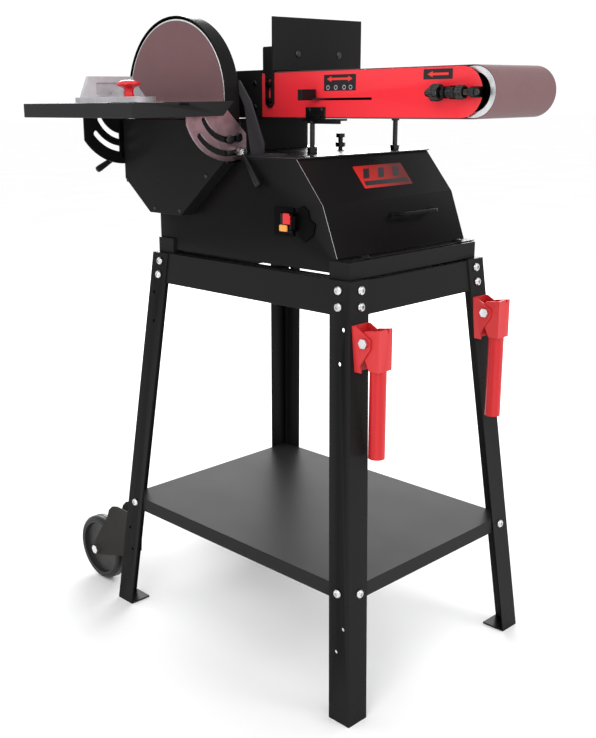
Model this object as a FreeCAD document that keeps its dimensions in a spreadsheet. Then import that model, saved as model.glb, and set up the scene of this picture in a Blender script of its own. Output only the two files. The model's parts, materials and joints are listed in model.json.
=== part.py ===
import FreeCAD, Part
import math
import os

import Sketcher

# Belt and disc sander on a splayed steel stand.
# Millimetres, +Z up, floor at z = 0.  While a piece is laid out, x = 0 is the drive shaft, with +X
# towards the idler end of the belt, and y = 0 is the front edge of the belt, with the disc at -Y.
# frame_x and frame_y then move every piece so that the origin is under the middle of the machine.

DOC = FreeCAD.newDocument("BeltDiscSander")
SHEET = DOC.addObject("Spreadsheet::Sheet", "Dims")

DIMENSIONS = {
    # origin and general sheet metal
    "frame_x": -116.925, "frame_y": 16.2, "gap": 0.3, "run_gap": 0.05,
    "sheet": 2.0, "head_radius": 7.0, "head_height": 4.2,
    # stand
    "stand_x": 149.0, "stand_y": 53.3, "stand_top": 671.0,
    "top_half_x": 230.2, "top_half_y": 164.7, "foot_half_x": 295.5, "foot_half_y": 228.7,
    "leg_flange": 41.0, "leg_wall": 2.5, "leg_hole": 3.2, "foot_wall": 3.0,
    "rail_depth": 52.0, "rail_flange": 30.0,
    "shelf_top": 214.4, "shelf_lip": 24.6,
    # wheels at the -X end
    "wheel_x": -237.0, "wheel_z": 66.0, "wheel_radius": 64.0, "wheel_width": 27.0,
    "hub_width": 30.0, "axle_radius": 5.0, "cheek_wall": 2.5,
    # folding lift handles at the +X end
    "pin_x": 411.0, "pin_z": 587.0, "pin_radius": 4.0, "tube_radius": 12.5, "tube_end": 411.0,
    "saddle_half": 15.0, "saddle_top": 608.0, "saddle_bottom": 546.0,
    # cabinet
    "channel_height": 26.0, "channel_width": 40.0, "cabinet_left": -74.0, "cabinet_front": -98.2,
    "cabinet_rear": 217.5, "cabinet_foot_x": 341.5, "knee_x": 312.0, "knee_z": 776.0,
    "cabinet_top_x": 258.0, "cabinet_top": 841.0, "front_skirt": 677.5,
    # shaft line
    "shaft_z": 934.0, "shaft_radius": 12.0, "disc_radius": 120.0, "disc_thick": 12.0,
    "disc_face": -116.5, "paper_radius": 117.5, "paper_thick": 1.0,
    "drum_radius": 35.0, "belt_width": 151.0, "belt_thick": 1.2, "idler_x": 498.6,
    "collar_radius": 24.0, "pulley_radius": 34.0, "pulley_y": -48.0, "pulley_width": 16.0,
    # motor
    "motor_z": 769.0, "motor_radius": 57.0, "motor_front": -18.0, "motor_length": 200.0,
    # belt arm
    "arm_half": 34.6, "arm_skin": 1.5, "arm_front": -4.5, "arm_rear": 156.5,
    "cover_left": 88.0, "cover_right": 481.0, "hood_radius": 40.2,
    "platen_left": 46.0, "platen_right": 436.0, "slot_left": 209.0, "slot_right": 322.0,
    "slot_z": 926.8, "lever_x": 265.5, "lever_y": 62.0, "lever_angle": 37.3,
    "track_y": -17.0, "knob_radius": 12.0,
    # work stop
    "stop_x": 117.0, "stop_low": 972.5, "stop_top": 1055.4, "stop_front": -11.0, "stop_rear": 204.0,
    # disc table
    "table_half": 145.3, "table_near": -119.6, "table_far": -314.4, "table_top": 925.7,
    "table_skirt": 21.4, "table_plate": 8.0, "table_wall": 3.0, "slot_half": 9.5, "mitre_y": -218.0,
    "trunnion_wall": 3.0, "left_trunnion": -142.0, "right_trunnion": 130.5,
    "left_reach": 104.0, "right_reach": 91.0, "inner_track": 58.0, "outer_track": 79.0,
    "track_half": 4.6, "track_pin": 4.0,
    # dust parts
    "shroud_left": -136.0, "shroud_right": 127.5, "shroud_front": -125.0, "shroud_top": 898.0,
    "guard_radius": 125.0, "guard_front": -118.0, "guard_rear": -90.0, "port_radius": 31.75,
    # dust port, cord gland and pull handle
    "port_y": 60.0, "port_z": 770.0, "gland_x": 270.0, "gland_z": 722.0,
    "pull_x": 322.0, "pull_z": 752.5, "pull_front": 50.0, "pull_rear": 141.5, "pull_radius": 3.0,
    # posts under the belt arm: level rest, rear rest and the spare levelling bolt
    "rest_x": 190.0, "rest_y": 8.0, "post_x": 239.0, "post_y": 155.7, "spare_x": 141.0,
    "spare_y": 130.0, "post_radius": 4.0,
    # mitre gauge and switch
    "mitre_x": 10.0, "mitre_boss": 8.0, "switch_x": 239.0, "switch_z": 747.0,
}


class Dim:
    """A length that knows both its value and the sheet expression that gives it."""

    def __init__(self, value, text):
        self.value = float(value)
        self.text = text

    def __add__(self, other):
        other = dim(other)
        return Dim(self.value + other.value, f"({self.text} + {other.text})")

    def __sub__(self, other):
        other = dim(other)
        return Dim(self.value - other.value, f"({self.text} - {other.text})")

    def __mul__(self, other):
        other = dim(other)
        return Dim(self.value * other.value, f"({self.text} * {other.text})")

    def __truediv__(self, other):
        other = dim(other)
        return Dim(self.value / other.value, f"({self.text} / {other.text})")

    def __radd__(self, other):
        return dim(other) + self

    def __rsub__(self, other):
        return dim(other) - self

    def __rmul__(self, other):
        return dim(other) * self

    def __neg__(self):
        return Dim(-self.value, f"(0 - {self.text})")


def dim(item):
    """Turn a plain number into a Dim, and leave a Dim alone."""
    if isinstance(item, Dim):
        return item
    text = f"{item:.6f}" if item >= 0 else f"(0 - {-item:.6f})"
    return Dim(item, text)


class Sheet:
    """Attribute access to the sheet: D.shaft_z is the Dim of the cell called shaft_z."""

    def __init__(self, values):
        for row, (alias, value) in enumerate(values.items(), start=1):
            SHEET.set(f"A{row}", alias)
            SHEET.set(f"B{row}", str(value))
            SHEET.setAlias(f"B{row}", alias)
            setattr(self, alias, Dim(value, f"Dims.{alias}"))
        DOC.recompute()


D = Sheet(DIMENSIONS)
NODES = []
LOCAL = {}
TURNS = {
    "X": FreeCAD.Rotation(FreeCAD.Vector(0, 1, 0), 90),
    "Y": FreeCAD.Rotation(FreeCAD.Vector(1, 0, 0), -90),
    "Z": FreeCAD.Rotation(),
}


def bind(item, prop, size):
    """Drive one property from the sheet."""
    item.setExpression(prop, dim(size).text)


def place(item, x, y, z, turn=None):
    """Put a piece's own origin at (x, y, z)."""
    if turn is not None:
        item.Placement = FreeCAD.Placement(FreeCAD.Vector(), turn)
    LOCAL[item.Name] = (dim(x), dim(y), dim(z))
    for axis, size in zip("xyz", LOCAL[item.Name]):
        item.setExpression(f"Placement.Base.{axis}", size.text)
    return item


def node(label, item):
    """Name a finished sub-part and move it into the machine's frame."""
    item.Label = label
    x, y, z = LOCAL.get(item.Name, (dim(0), dim(0), dim(0)))
    item.setExpression("Placement.Base.x", (x + D.frame_x).text)
    item.setExpression("Placement.Base.y", (y + D.frame_y).text)
    item.setExpression("Placement.Base.z", z.text)
    NODES.append(item)
    return item


def box(x0, y0, z0, x1, y1, z1):
    """Box between two corners."""
    item = DOC.addObject("Part::Box", "Block")
    bind(item, "Length", dim(x1) - x0)
    bind(item, "Width", dim(y1) - y0)
    bind(item, "Height", dim(z1) - z0)
    return place(item, x0, y0, z0)


def rod(axis, x, y, z, radius, length):
    """Cylinder that runs from (x, y, z) along +axis."""
    item = DOC.addObject("Part::Cylinder", "Rod")
    bind(item, "Radius", radius)
    bind(item, "Height", length)
    return place(item, x, y, z, TURNS[axis])


def hexagon(axis, x, y, z, radius, length):
    """Six-sided nut or bolt head from (x, y, z) along +axis."""
    item = DOC.addObject("Part::Prism", "Hex")
    item.Polygon = 6
    bind(item, "Circumradius", radius)
    bind(item, "Height", length)
    return place(item, x, y, z, TURNS[axis])


def cut(base, *tools):
    """Take every tool away from the base."""
    for tool in tools:
        item = DOC.addObject("Part::Cut", "Cut")
        item.Base = base
        item.Tool = tool
        base = item
    return base


def join(*pieces):
    """One solid out of touching pieces."""
    item = DOC.addObject("Part::MultiFuse", "Joined")
    item.Shapes = list(pieces)
    item.Refine = True
    return item


def group(*pieces):
    """Separate solids of one kind in one node."""
    item = DOC.addObject("Part::Compound", "Group")
    item.Links = list(pieces)
    return item


def outline_sketch(body, plane, name, outline):
    """Closed outline of straight lines on a body's own plane, with every corner driven by the sheet."""
    sketch = body.newObject("Sketcher::SketchObject", name)
    origin = [f for f in body.Origin.OriginFeatures if f.Role == f"{plane}_Plane"][0]
    sketch.AttachmentSupport = [(origin, "")]
    sketch.MapMode = "FlatFace"
    corners = [(dim(a), dim(b)) for a, b in outline]
    count = len(corners)
    for i, (a, b) in enumerate(corners):
        c, d = corners[(i + 1) % count]
        start = FreeCAD.Vector(a.value, b.value, 0)
        end = FreeCAD.Vector(c.value, d.value, 0)
        sketch.addGeometry(Part.LineSegment(start, end))
    for i in range(count):
        sketch.addConstraint(Sketcher.Constraint("Coincident", i, 2, (i + 1) % count, 1))
    for i, (a, b) in enumerate(corners):
        pin_point(sketch, i, 1, a, b)
    return sketch


def slab(plane, low, thick, outline, holes=()):
    """Sheet of any outline: plane XY, XZ or YZ, from low, thick deep along the third axis.

    outline lists (across, up) corners and holes lists (across, up, radius) circles.
    """
    body = DOC.addObject("PartDesign::Body", "Body")
    sketch = outline_sketch(body, plane, "Outline", outline)
    for a, b, radius in holes:
        a, b, radius = dim(a), dim(b), dim(radius)
        centre = FreeCAD.Vector(a.value, b.value, 0)
        circle = sketch.addGeometry(Part.Circle(centre, FreeCAD.Vector(0, 0, 1), radius.value))
        pin_point(sketch, circle, 3, a, b)
        index = sketch.addConstraint(Sketcher.Constraint("Radius", circle, radius.value))
        sketch.setExpression(f"Constraints[{index}]", radius.text)
    pad = body.newObject("PartDesign::Pad", "Pad")
    pad.Profile = sketch
    bind(pad, "Length", thick)
    if plane == "XZ":
        return place(body, 0, dim(low) + thick, 0)
    if plane == "YZ":
        return place(body, low, 0, 0)
    return place(body, 0, 0, low)


def pin_point(sketch, geometry, point, a, b):
    """Hold one sketch point at (a, b) by two driven dimensions."""
    for kind, size in (("DistanceX", a), ("DistanceY", b)):
        index = sketch.addConstraint(Sketcher.Constraint(kind, -1, 1, geometry, point, size.value))
        sketch.setExpression(f"Constraints[{index}]", size.text)


def turned(x, y, z, profile, axis="Y"):
    """Revolved piece: profile lists (radius, station along the axis) corners from (x, y, z)."""
    body = DOC.addObject("PartDesign::Body", "Turned")
    sketch = outline_sketch(body, "XZ", "Profile", profile)
    spin = body.newObject("PartDesign::Revolution", "Revolution")
    spin.Profile = sketch
    spin.ReferenceAxis = (sketch, ["V_Axis"])
    spin.Angle = 360
    return place(body, x, y, z, TURNS[axis])


# ---------------------------------------------------------------- stand

LEAN_X = (D.foot_half_x - D.top_half_x) / D.stand_top
LEAN_Y = (D.foot_half_y - D.top_half_y) / D.stand_top


def half_x(z):
    """Half the stand's outer width along X at height z."""
    return D.foot_half_x - LEAN_X * z


def half_y(z):
    """Half the stand's outer width along Y at height z."""
    return D.foot_half_y - LEAN_Y * z


LEG_HOLES = ((601, 14), (550, 21), (150, 13), (110, 27))


def leg(side_x, side_y):
    """Splayed angle-iron leg with an inward foot plate."""
    body = DOC.addObject("PartDesign::Body", "Leg")
    sketches = []
    for z in (dim(0), D.stand_top):
        out_x = D.stand_x + side_x * half_x(z)
        out_y = D.stand_y + side_y * half_y(z)
        in_x = out_x - side_x * D.leg_flange
        in_y = out_y - side_y * D.leg_flange
        wall_x = out_x - side_x * D.leg_wall
        wall_y = out_y - side_y * D.leg_wall
        sketch = outline_sketch(body, "XY", "Angle", [
            (out_x, out_y), (in_x, out_y), (in_x, wall_y),
            (wall_x, wall_y), (wall_x, in_y), (out_x, in_y)])
        sketch.setExpression("AttachmentOffset.Base.z", z.text)
        sketches.append(sketch)
    loft = body.newObject("PartDesign::AdditiveLoft", "Loft")
    loft.Profile = sketches[0]
    loft.Sections = [sketches[1]]
    loft.Ruled = True
    foot_x = D.stand_x + side_x * (D.foot_half_x - 1)
    foot_y = D.stand_y + side_y * (D.foot_half_y - 1)
    end_x = foot_x - side_x * D.leg_flange
    end_y = foot_y - side_y * D.leg_flange
    xs = (foot_x, end_x) if side_x < 0 else (end_x, foot_x)
    ys = (foot_y, end_y) if side_y < 0 else (end_y, foot_y)
    foot = box(xs[0], ys[0], 0, xs[1], ys[1], D.foot_wall)
    return cut(join(body, foot), *leg_holes(side_x, side_y))


def leg_holes(side_x, side_y):
    """Spare bolt holes through the leg flange that faces the front or the back."""
    holes = []
    for z, inset in LEG_HOLES:
        x = D.stand_x + side_x * (half_x(z) - inset)
        y = D.stand_y + side_y * half_y(z) - 6
        holes.append(rod("Y", x, y, z, D.leg_hole, 12))
    return holes


node("legs", group(*[leg(side_x, side_y) for side_x in (-1, 1) for side_y in (-1, 1)]))

RAIL_LOW = D.stand_top - D.rail_depth


def long_rail(side):
    """Rail along X inside the front or rear legs, with its top flange turned inwards."""
    top = D.stand_top
    web_top = D.stand_y + side * (half_y(top) - D.leg_wall)
    web_low = D.stand_y + side * (half_y(RAIL_LOW) - D.leg_wall)
    outline = [
        (web_low, RAIL_LOW), (web_top, top), (web_top - side * D.rail_flange, top),
        (web_top - side * D.rail_flange, top - D.sheet), (web_top - side * D.sheet, top - D.sheet),
        (web_low - side * D.sheet, RAIL_LOW),
    ]
    reach = half_x(top) - D.leg_wall - D.gap
    return slab("YZ", D.stand_x - reach, reach * 2, outline)


def short_rail(side):
    """Rail along Y inside the end legs, its flange tucked below the long rails' flanges."""
    top = D.stand_top - D.sheet - 0.2
    web_top = D.stand_x + side * (half_x(top) - D.leg_wall)
    web_low = D.stand_x + side * (half_x(RAIL_LOW) - D.leg_wall)
    outline = [
        (web_low, RAIL_LOW), (web_top, top), (web_top - side * D.rail_flange, top),
        (web_top - side * D.rail_flange, top - D.sheet), (web_top - side * D.sheet, top - D.sheet),
        (web_low - side * D.sheet, RAIL_LOW),
    ]
    reach = half_y(D.stand_top) - D.leg_wall - D.sheet - D.gap
    return slab("XZ", D.stand_y - reach, reach * 2, outline)


node("top_rails", group(long_rail(-1), long_rail(1), short_rail(-1), short_rail(1)))

SHELF_X = half_x(D.shelf_top) - D.leg_wall - 0.1
SHELF_Y = half_y(D.shelf_top) - D.leg_wall - 0.1
SHELF_LOW = D.shelf_top - D.shelf_lip
shelf_block = box(D.stand_x - SHELF_X, D.stand_y - SHELF_Y, SHELF_LOW,
                  D.stand_x + SHELF_X, D.stand_y + SHELF_Y, D.shelf_top)
shelf_hollow = box(D.stand_x - SHELF_X + D.sheet, D.stand_y - SHELF_Y + D.sheet, SHELF_LOW - 1,
                   D.stand_x + SHELF_X - D.sheet, D.stand_y + SHELF_Y - D.sheet,
                   D.shelf_top - D.sheet)
node("shelf", cut(shelf_block, shelf_hollow))


BRACKET_LOW, BRACKET_TOP = D.wheel_z + 16, D.wheel_z + 110
BRACKET_BOLTS = (D.wheel_z + 36, D.wheel_z + 90)


def leg_face_x(z):
    """Outer face of the wheel-end legs at height z."""
    return D.stand_x - half_x(z)


def wheel_bracket(side):
    """Two cheeks either side of the wheel on a back plate that lies on the leg's outer face."""
    outer = D.stand_y + side * (half_y(BRACKET_TOP) - 0.5)
    inner = outer - side * (D.hub_width + D.cheek_wall * 2 + 1)
    low, high = (outer, inner) if side < 0 else (inner, outer)
    wall = D.cheek_wall
    top_x, low_x = leg_face_x(BRACKET_TOP), leg_face_x(BRACKET_LOW)
    cheek = [
        (D.wheel_x - 13, D.wheel_z - 5), (D.wheel_x - 8, D.wheel_z - 12), (D.wheel_x, D.wheel_z - 14),
        (low_x - 1, BRACKET_LOW), (top_x - 1, BRACKET_TOP), (top_x - 36, BRACKET_TOP),
        (top_x - 51, BRACKET_TOP - 4), (top_x - 62, BRACKET_TOP - 14), (top_x - 69, BRACKET_TOP - 32),
        (D.wheel_x - 13, D.wheel_z + 8),
    ]
    plates = [slab("XZ", y, wall, cheek, [(D.wheel_x, D.wheel_z, D.axle_radius + 0.1)])
              for y in (low, high - wall)]
    back = slab("XZ", low, high - low, [
        (low_x, BRACKET_LOW), (top_x, BRACKET_TOP), (top_x - wall, BRACKET_TOP),
        (low_x - wall, BRACKET_LOW)])
    return join(*plates, back), low, high


def wheel(low, high):
    """Hard rubber-tyred wheel with a dished web and a long hub."""
    middle = (low + high) / 2
    bore = D.axle_radius + D.run_gap
    rim = D.wheel_width / 2
    hub = D.hub_width / 2
    profile = [
        (bore, -hub), (bore + 9, -hub), (bore + 9, -5), (D.wheel_radius - 13, -4),
        (D.wheel_radius - 11, -rim), (D.wheel_radius - 4, -rim), (D.wheel_radius, -rim + 5),
        (D.wheel_radius, rim - 5), (D.wheel_radius - 4, rim), (D.wheel_radius - 11, rim),
        (D.wheel_radius - 13, 4), (bore + 9, 5), (bore + 9, hub), (bore, hub),
    ]
    return turned(D.wheel_x, middle, D.wheel_z, profile)


bracket_front, front_low, front_high = wheel_bracket(-1)
bracket_rear, rear_low, rear_high = wheel_bracket(1)
node("wheel_brackets", group(bracket_front, bracket_rear))
node("wheel_front", wheel(front_low, front_high))
node("wheel_rear", wheel(rear_low, rear_high))

HANDLE_YS = (D.stand_y - half_y(D.pin_z) + D.leg_flange / 2 + 2,
             D.stand_y + half_y(D.pin_z) - D.leg_flange / 2 - 2)


def handle_bracket(y):
    """U bracket on the leg's outer face, with two triangular cheeks that carry the pin."""
    top, low = D.pin_z + 22, D.pin_z - 46
    face_top = D.stand_x + half_x(top)
    face_low = D.stand_x + half_x(low)
    half = D.saddle_half + D.gap
    back = slab("XZ", y - half - D.cheek_wall, (half + D.cheek_wall) * 2, [
        (face_top, top), (face_low, low), (face_low + D.cheek_wall, low),
        (face_top + D.cheek_wall, top)])
    cheek = [
        (face_top + 1, top), (face_low + 1, low), (face_low + 13, low), (face_low + 11, low + 12),
        (D.pin_x + 10, D.pin_z - 8), (D.pin_x + 10, D.pin_z + 6), (face_top + 7, top),
    ]
    hole = [(D.pin_x, D.pin_z, D.pin_radius + 0.1)]
    cheeks = [slab("XZ", start, D.cheek_wall, cheek, hole)
              for start in (y - half - D.cheek_wall, y + half)]
    return join(back, *cheeks)


def lift_handle(y):
    """Tube handle with a folded saddle that swings on the pin and stops on its back edge."""
    wall = D.cheek_wall
    half = D.saddle_half
    out = D.pin_x + 24
    side = [
        (D.pin_x - 9, D.pin_z - 9), (D.pin_x - 9, D.pin_z + 9), (D.pin_x - 2, D.saddle_top - 4),
        (out, D.saddle_top), (out, D.saddle_bottom), (D.pin_x + 6, D.saddle_bottom),
    ]
    hole = [(D.pin_x, D.pin_z, D.pin_radius + D.run_gap)]
    sides = [slab("XZ", start, wall, side, hole) for start in (y - half, y + half - wall)]
    notch = slab("YZ", out - wall - 1, wall + 2, [
        (y + 2, D.saddle_top + 1), (y + 6.5, D.saddle_top - 7), (y + 9, D.saddle_top + 1)])
    web = cut(box(out - wall, y - half, D.saddle_bottom, out, y + half, D.saddle_top), notch)
    tube_x = out - D.tube_radius
    tube_top = D.pin_z - 14
    tube = cut(rod("Z", tube_x, y, D.tube_end, D.tube_radius, tube_top - D.tube_end),
               rod("Z", tube_x, y, D.tube_end - 1, D.tube_radius - 2, tube_top - D.tube_end + 2))
    bridge = box(tube_x - 6, y - half + 1, tube_top - 12, tube_x + 6, y - D.tube_radius + 1.5,
                 tube_top - 4)
    bridge_far = box(tube_x - 6, y + D.tube_radius - 1.5, tube_top - 12, tube_x + 6,
                     y + half - 1, tube_top - 4)
    return join(*sides, web, tube, bridge, bridge_far)


node("handle_brackets", group(*[handle_bracket(y) for y in HANDLE_YS]))
node("lift_handle_front", lift_handle(HANDLE_YS[0]))
node("lift_handle_rear", lift_handle(HANDLE_YS[1]))


def stand_bolts():
    """Zinc bolts of the stand: two per leg face at the rails, one per face at the shelf."""
    bolts = []
    reach = D.leg_flange * 0.55
    stand_off = D.head_radius * LEAN_X + 0.02
    for side_x in (-1, 1):
        for side_y in (-1, 1):
            for z in (D.stand_top - 14, D.stand_top - 38, D.shelf_top - 11):
                x = D.stand_x + side_x * (half_x(z) - reach)
                y = D.stand_y + side_y * half_y(z)
                start = y - D.head_height - stand_off if side_y < 0 else y + stand_off
                bolts.append(rod("Y", x, start, z, D.head_radius, D.head_height))
                x = D.stand_x + side_x * half_x(z)
                y = D.stand_y + side_y * (half_y(z) - reach)
                start = x - D.head_height - stand_off if side_x < 0 else x + stand_off
                bolts.append(rod("X", start, y, z, D.head_radius, D.head_height))
    return bolts


def pins():
    """Wheel axles, bracket bolts and handle pins."""
    items = []
    for low, high in ((front_low, front_high), (rear_low, rear_high)):
        items.append(join(
            rod("Y", D.wheel_x, low - 8, D.wheel_z, D.axle_radius, high - low + 16),
            hexagon("Y", D.wheel_x, low - 8, D.wheel_z, 9, 7.9),
            hexagon("Y", D.wheel_x, high + 0.1, D.wheel_z, 9, 7.9)))
        for z in BRACKET_BOLTS:
            x = leg_face_x(z) - D.cheek_wall - D.head_radius * LEAN_X - 0.1
            items.append(rod("X", x - 4, (low + high) / 2, z, D.head_radius, 4))
    for y in HANDLE_YS:
        half = D.saddle_half + D.gap + D.cheek_wall
        items.append(join(
            rod("Y", D.pin_x, y - half - 6, D.pin_z, D.pin_radius, half * 2 + 12),
            hexagon("Y", D.pin_x, y - half - 6, D.pin_z, 8, 5.9),
            hexagon("Y", D.pin_x, y + half + 0.1, D.pin_z, 8, 5.9)))
    return items


node("stand_bolts", group(*stand_bolts(), *pins()))

# ---------------------------------------------------------------- cabinet

CABINET_LOW = D.stand_top + D.channel_height


def channel(x):
    """Folded cross member that carries one end of the cabinet."""
    low_y, high_y = D.cabinet_front - 5, D.cabinet_rear - 9
    shell = box(x, low_y, D.stand_top, x + D.channel_width, high_y, CABINET_LOW)
    hollow = box(x + D.sheet, low_y + D.sheet, D.stand_top - 1, x + D.channel_width - D.sheet,
                 high_y - D.sheet, CABINET_LOW - D.sheet)
    return cut(shell, hollow)


node("base_channels", group(channel(D.cabinet_left), channel(D.cabinet_foot_x - 11.5)))

CABINET_PROFILE = [
    (D.cabinet_left, CABINET_LOW), (D.cabinet_left, D.cabinet_top),
    (D.cabinet_top_x, D.cabinet_top), (D.knee_x, D.knee_z), (D.cabinet_foot_x, CABINET_LOW),
]
INNER_LEFT = D.cabinet_left + D.channel_width + 1
INNER_RIGHT = D.cabinet_foot_x - 12.5
front_profile = [
    *CABINET_PROFILE, (INNER_RIGHT, CABINET_LOW), (INNER_RIGHT, D.front_skirt),
    (INNER_LEFT, D.front_skirt), (INNER_LEFT, CABINET_LOW),
]
switch_hole = box(D.switch_x - 14, D.cabinet_front - 2, D.switch_z - 18.5,
                  D.switch_x + 14, D.cabinet_front + 4, D.switch_z + 18.5)


def tilt_relief():
    """Notch in the cabinet's top front edge that the right trunnion swings through."""
    return box(D.right_trunnion - 2, D.cabinet_front - 4, D.cabinet_top - 8,
               D.right_trunnion + D.trunnion_wall + 2, D.cabinet_front + 20, D.cabinet_top + 4)


node("cabinet_front", cut(slab("XZ", D.cabinet_front, D.sheet, front_profile), switch_hole,
                          tilt_relief()))
vents = [box(x, D.cabinet_rear - 4, 730, x + 8, D.cabinet_rear + 2, 790) for x in range(110, 230, 24)]
gland_hole = rod("Y", D.gland_x, D.cabinet_rear - 4, D.gland_z, 8, 8)
rear_plate = slab("XZ", D.cabinet_rear - D.sheet, D.sheet, CABINET_PROFILE)
node("cabinet_rear", cut(rear_plate, *vents, gland_hole))
INSIDE_FRONT = D.cabinet_front + D.sheet
INSIDE_REAR = D.cabinet_rear - D.sheet
side_plate = box(D.cabinet_left, INSIDE_FRONT, CABINET_LOW, D.cabinet_left + D.sheet,
                 INSIDE_REAR, D.cabinet_top)
port_hole = rod("X", D.cabinet_left - 2, D.port_y, D.port_z, D.port_radius - 2, 8)
node("cabinet_side", cut(side_plate, port_hole))

end_skin = [
    (D.cabinet_foot_x, CABINET_LOW), (D.knee_x, D.knee_z), (D.cabinet_top_x, D.cabinet_top),
    (D.cabinet_top_x - D.sheet * 1.3, D.cabinet_top), (D.knee_x - D.sheet * 1.15, D.knee_z - 0.8),
    (D.cabinet_foot_x - D.sheet * 1.06, CABINET_LOW),
]
END_LENGTH = INSIDE_REAR - INSIDE_FRONT
end_lip = box(D.cabinet_foot_x - 1.5, INSIDE_FRONT, CABINET_LOW, D.cabinet_foot_x + 22, INSIDE_REAR,
              CABINET_LOW + D.sheet)
node("cabinet_end_cover", join(slab("XZ", INSIDE_FRONT, END_LENGTH, end_skin), end_lip))

belt_slot = box(-39, D.pulley_y - 10, D.cabinet_top - 1, 39, D.pulley_y + 10, D.cabinet_top + 4)
node("cabinet_top", cut(
    box(D.cabinet_left, D.cabinet_front, D.cabinet_top, D.cabinet_top_x + 4,
        D.cabinet_rear + 2, D.cabinet_top + D.sheet), belt_slot, tilt_relief()))
TOP = D.cabinet_top + D.sheet


def pull_handle():
    """Round-wire pull on the lower slope of the end cover."""
    reach = 20
    legs = [rod("X", D.pull_x, y, D.pull_z, D.pull_radius, reach + 0.6)
            for y in (D.pull_front, D.pull_rear)]
    bar = rod("Y", D.pull_x + reach, D.pull_front - D.pull_radius, D.pull_z, D.pull_radius,
              D.pull_rear - D.pull_front + D.pull_radius * 2)
    return join(*legs, bar)


node("pull_handle", pull_handle())


def dust_port():
    """Flanged spigot for a dust hose on the side sheet."""
    length, flange = 34, 3
    x, y, z = D.cabinet_left, D.port_y, D.port_z
    spigot = join(rod("X", x - length, y, z, D.port_radius, length),
                  rod("X", x - flange, y, z, D.port_radius + 8, flange))
    return cut(spigot, rod("X", x - length - 2, y, z, D.port_radius - 2, length + 6))


def cord_gland():
    """Threaded gland in the rear sheet, with a nut on each side."""
    x, y, z, across = D.gland_x, D.cabinet_rear, D.gland_z, 13
    body = join(rod("Y", x, y - 8, z, 7.8, 20), hexagon("Y", x, y, z, across, 7),
                hexagon("Y", x, y - 9, z, across, 6.8))
    return cut(body, rod("Y", x, y - 12, z, 4, 30))


node("dust_port", dust_port())
node("cord_gland", cord_gland())

# ---------------------------------------------------------------- motor and drive

motor_shell = rod("Y", 0, D.motor_front, D.motor_z, D.motor_radius, D.motor_length)
motor_foot = box(-50, D.motor_front + 40, CABINET_LOW + 1, 50, D.motor_front + 160, D.motor_z - 40)
motor_bore = rod("Y", 0, D.motor_front - 2, D.motor_z, 8 + D.run_gap, D.motor_length + 4)
node("motor", cut(join(motor_shell, motor_foot), motor_bore))
MOTOR_END = D.motor_front + D.motor_length
PULLEY_END = D.pulley_y + D.pulley_width / 2
PULLEY_START = D.pulley_y - D.pulley_width / 2
node("motor_pulley", join(
    rod("Y", 0, PULLEY_START, D.motor_z, 8, MOTOR_END - 10 - PULLEY_START),
    rod("Y", 0, PULLEY_START, D.motor_z, D.pulley_radius - 5, D.pulley_width),
    rod("Y", 0, PULLEY_START, D.motor_z, D.pulley_radius, 2),
    rod("Y", 0, PULLEY_END - 2, D.motor_z, D.pulley_radius, 2)))


def vee_loop(radius, width):
    """Straight-sided loop round the two pulleys."""
    low_y = D.pulley_y - width / 2
    return join(rod("Y", 0, low_y, D.motor_z, radius, width),
                rod("Y", 0, low_y, D.shaft_z, radius, width),
                box(-radius, low_y, D.motor_z, radius, low_y + width, D.shaft_z))


node("drive_belt", cut(vee_loop(D.pulley_radius + 2, dim(10)),
                       vee_loop(D.pulley_radius - 5 + D.run_gap * 4, dim(12))))

DISC_BACK = D.disc_face + D.disc_thick
SHAFT_END = D.belt_width + 25
node("drive_shaft", rod("Y", 0, DISC_BACK - 6, D.shaft_z, D.shaft_radius, SHAFT_END - DISC_BACK + 6))
node("disc_plate", cut(
    join(rod("Y", 0, D.disc_face, D.shaft_z, D.disc_radius, D.disc_thick),
         rod("Y", 0, DISC_BACK - 1, D.shaft_z, 26, 11)),
    rod("Y", 0, DISC_BACK - 6, D.shaft_z, D.shaft_radius, 20)))
node("abrasive_disc", rod("Y", 0, D.disc_face - D.paper_thick, D.shaft_z, D.paper_radius,
                          D.paper_thick))
node("drive_drum", cut(rod("Y", 0, 1, D.shaft_z, D.drum_radius, D.belt_width - 2),
                       rod("Y", 0, 0, D.shaft_z, D.shaft_radius, D.belt_width)))
node("shaft_pulley", cut(
    join(rod("Y", 0, PULLEY_START, D.shaft_z, D.pulley_radius - 5, D.pulley_width),
         rod("Y", 0, PULLEY_START, D.shaft_z, D.pulley_radius, 2),
         rod("Y", 0, PULLEY_END - 2, D.shaft_z, D.pulley_radius, 2)),
    rod("Y", 0, PULLEY_START - 2, D.shaft_z, D.shaft_radius, D.pulley_width + 4)))


def bearing_block(low_y, high_y, collar_y, collar_length, half):
    """Pedestal on the cabinet top with a round housing and a collar that the belt arm turns on."""
    return cut(join(box(-half, low_y, TOP, half, high_y, D.shaft_z),
                    rod("Y", 0, low_y, D.shaft_z, 28, high_y - low_y),
                    rod("Y", 0, collar_y, D.shaft_z, D.collar_radius, collar_length)),
               rod("Y", 0, low_y - 30, D.shaft_z, D.shaft_radius + D.run_gap, 160))


node("bearing_blocks", group(bearing_block(dim(-88), dim(-64), -88, 24, dim(24)),
                             bearing_block(dim(-32), dim(-22), -23, 22, dim(24)),
                             bearing_block(dim(159), dim(172), 153, 8, dim(24))))


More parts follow.
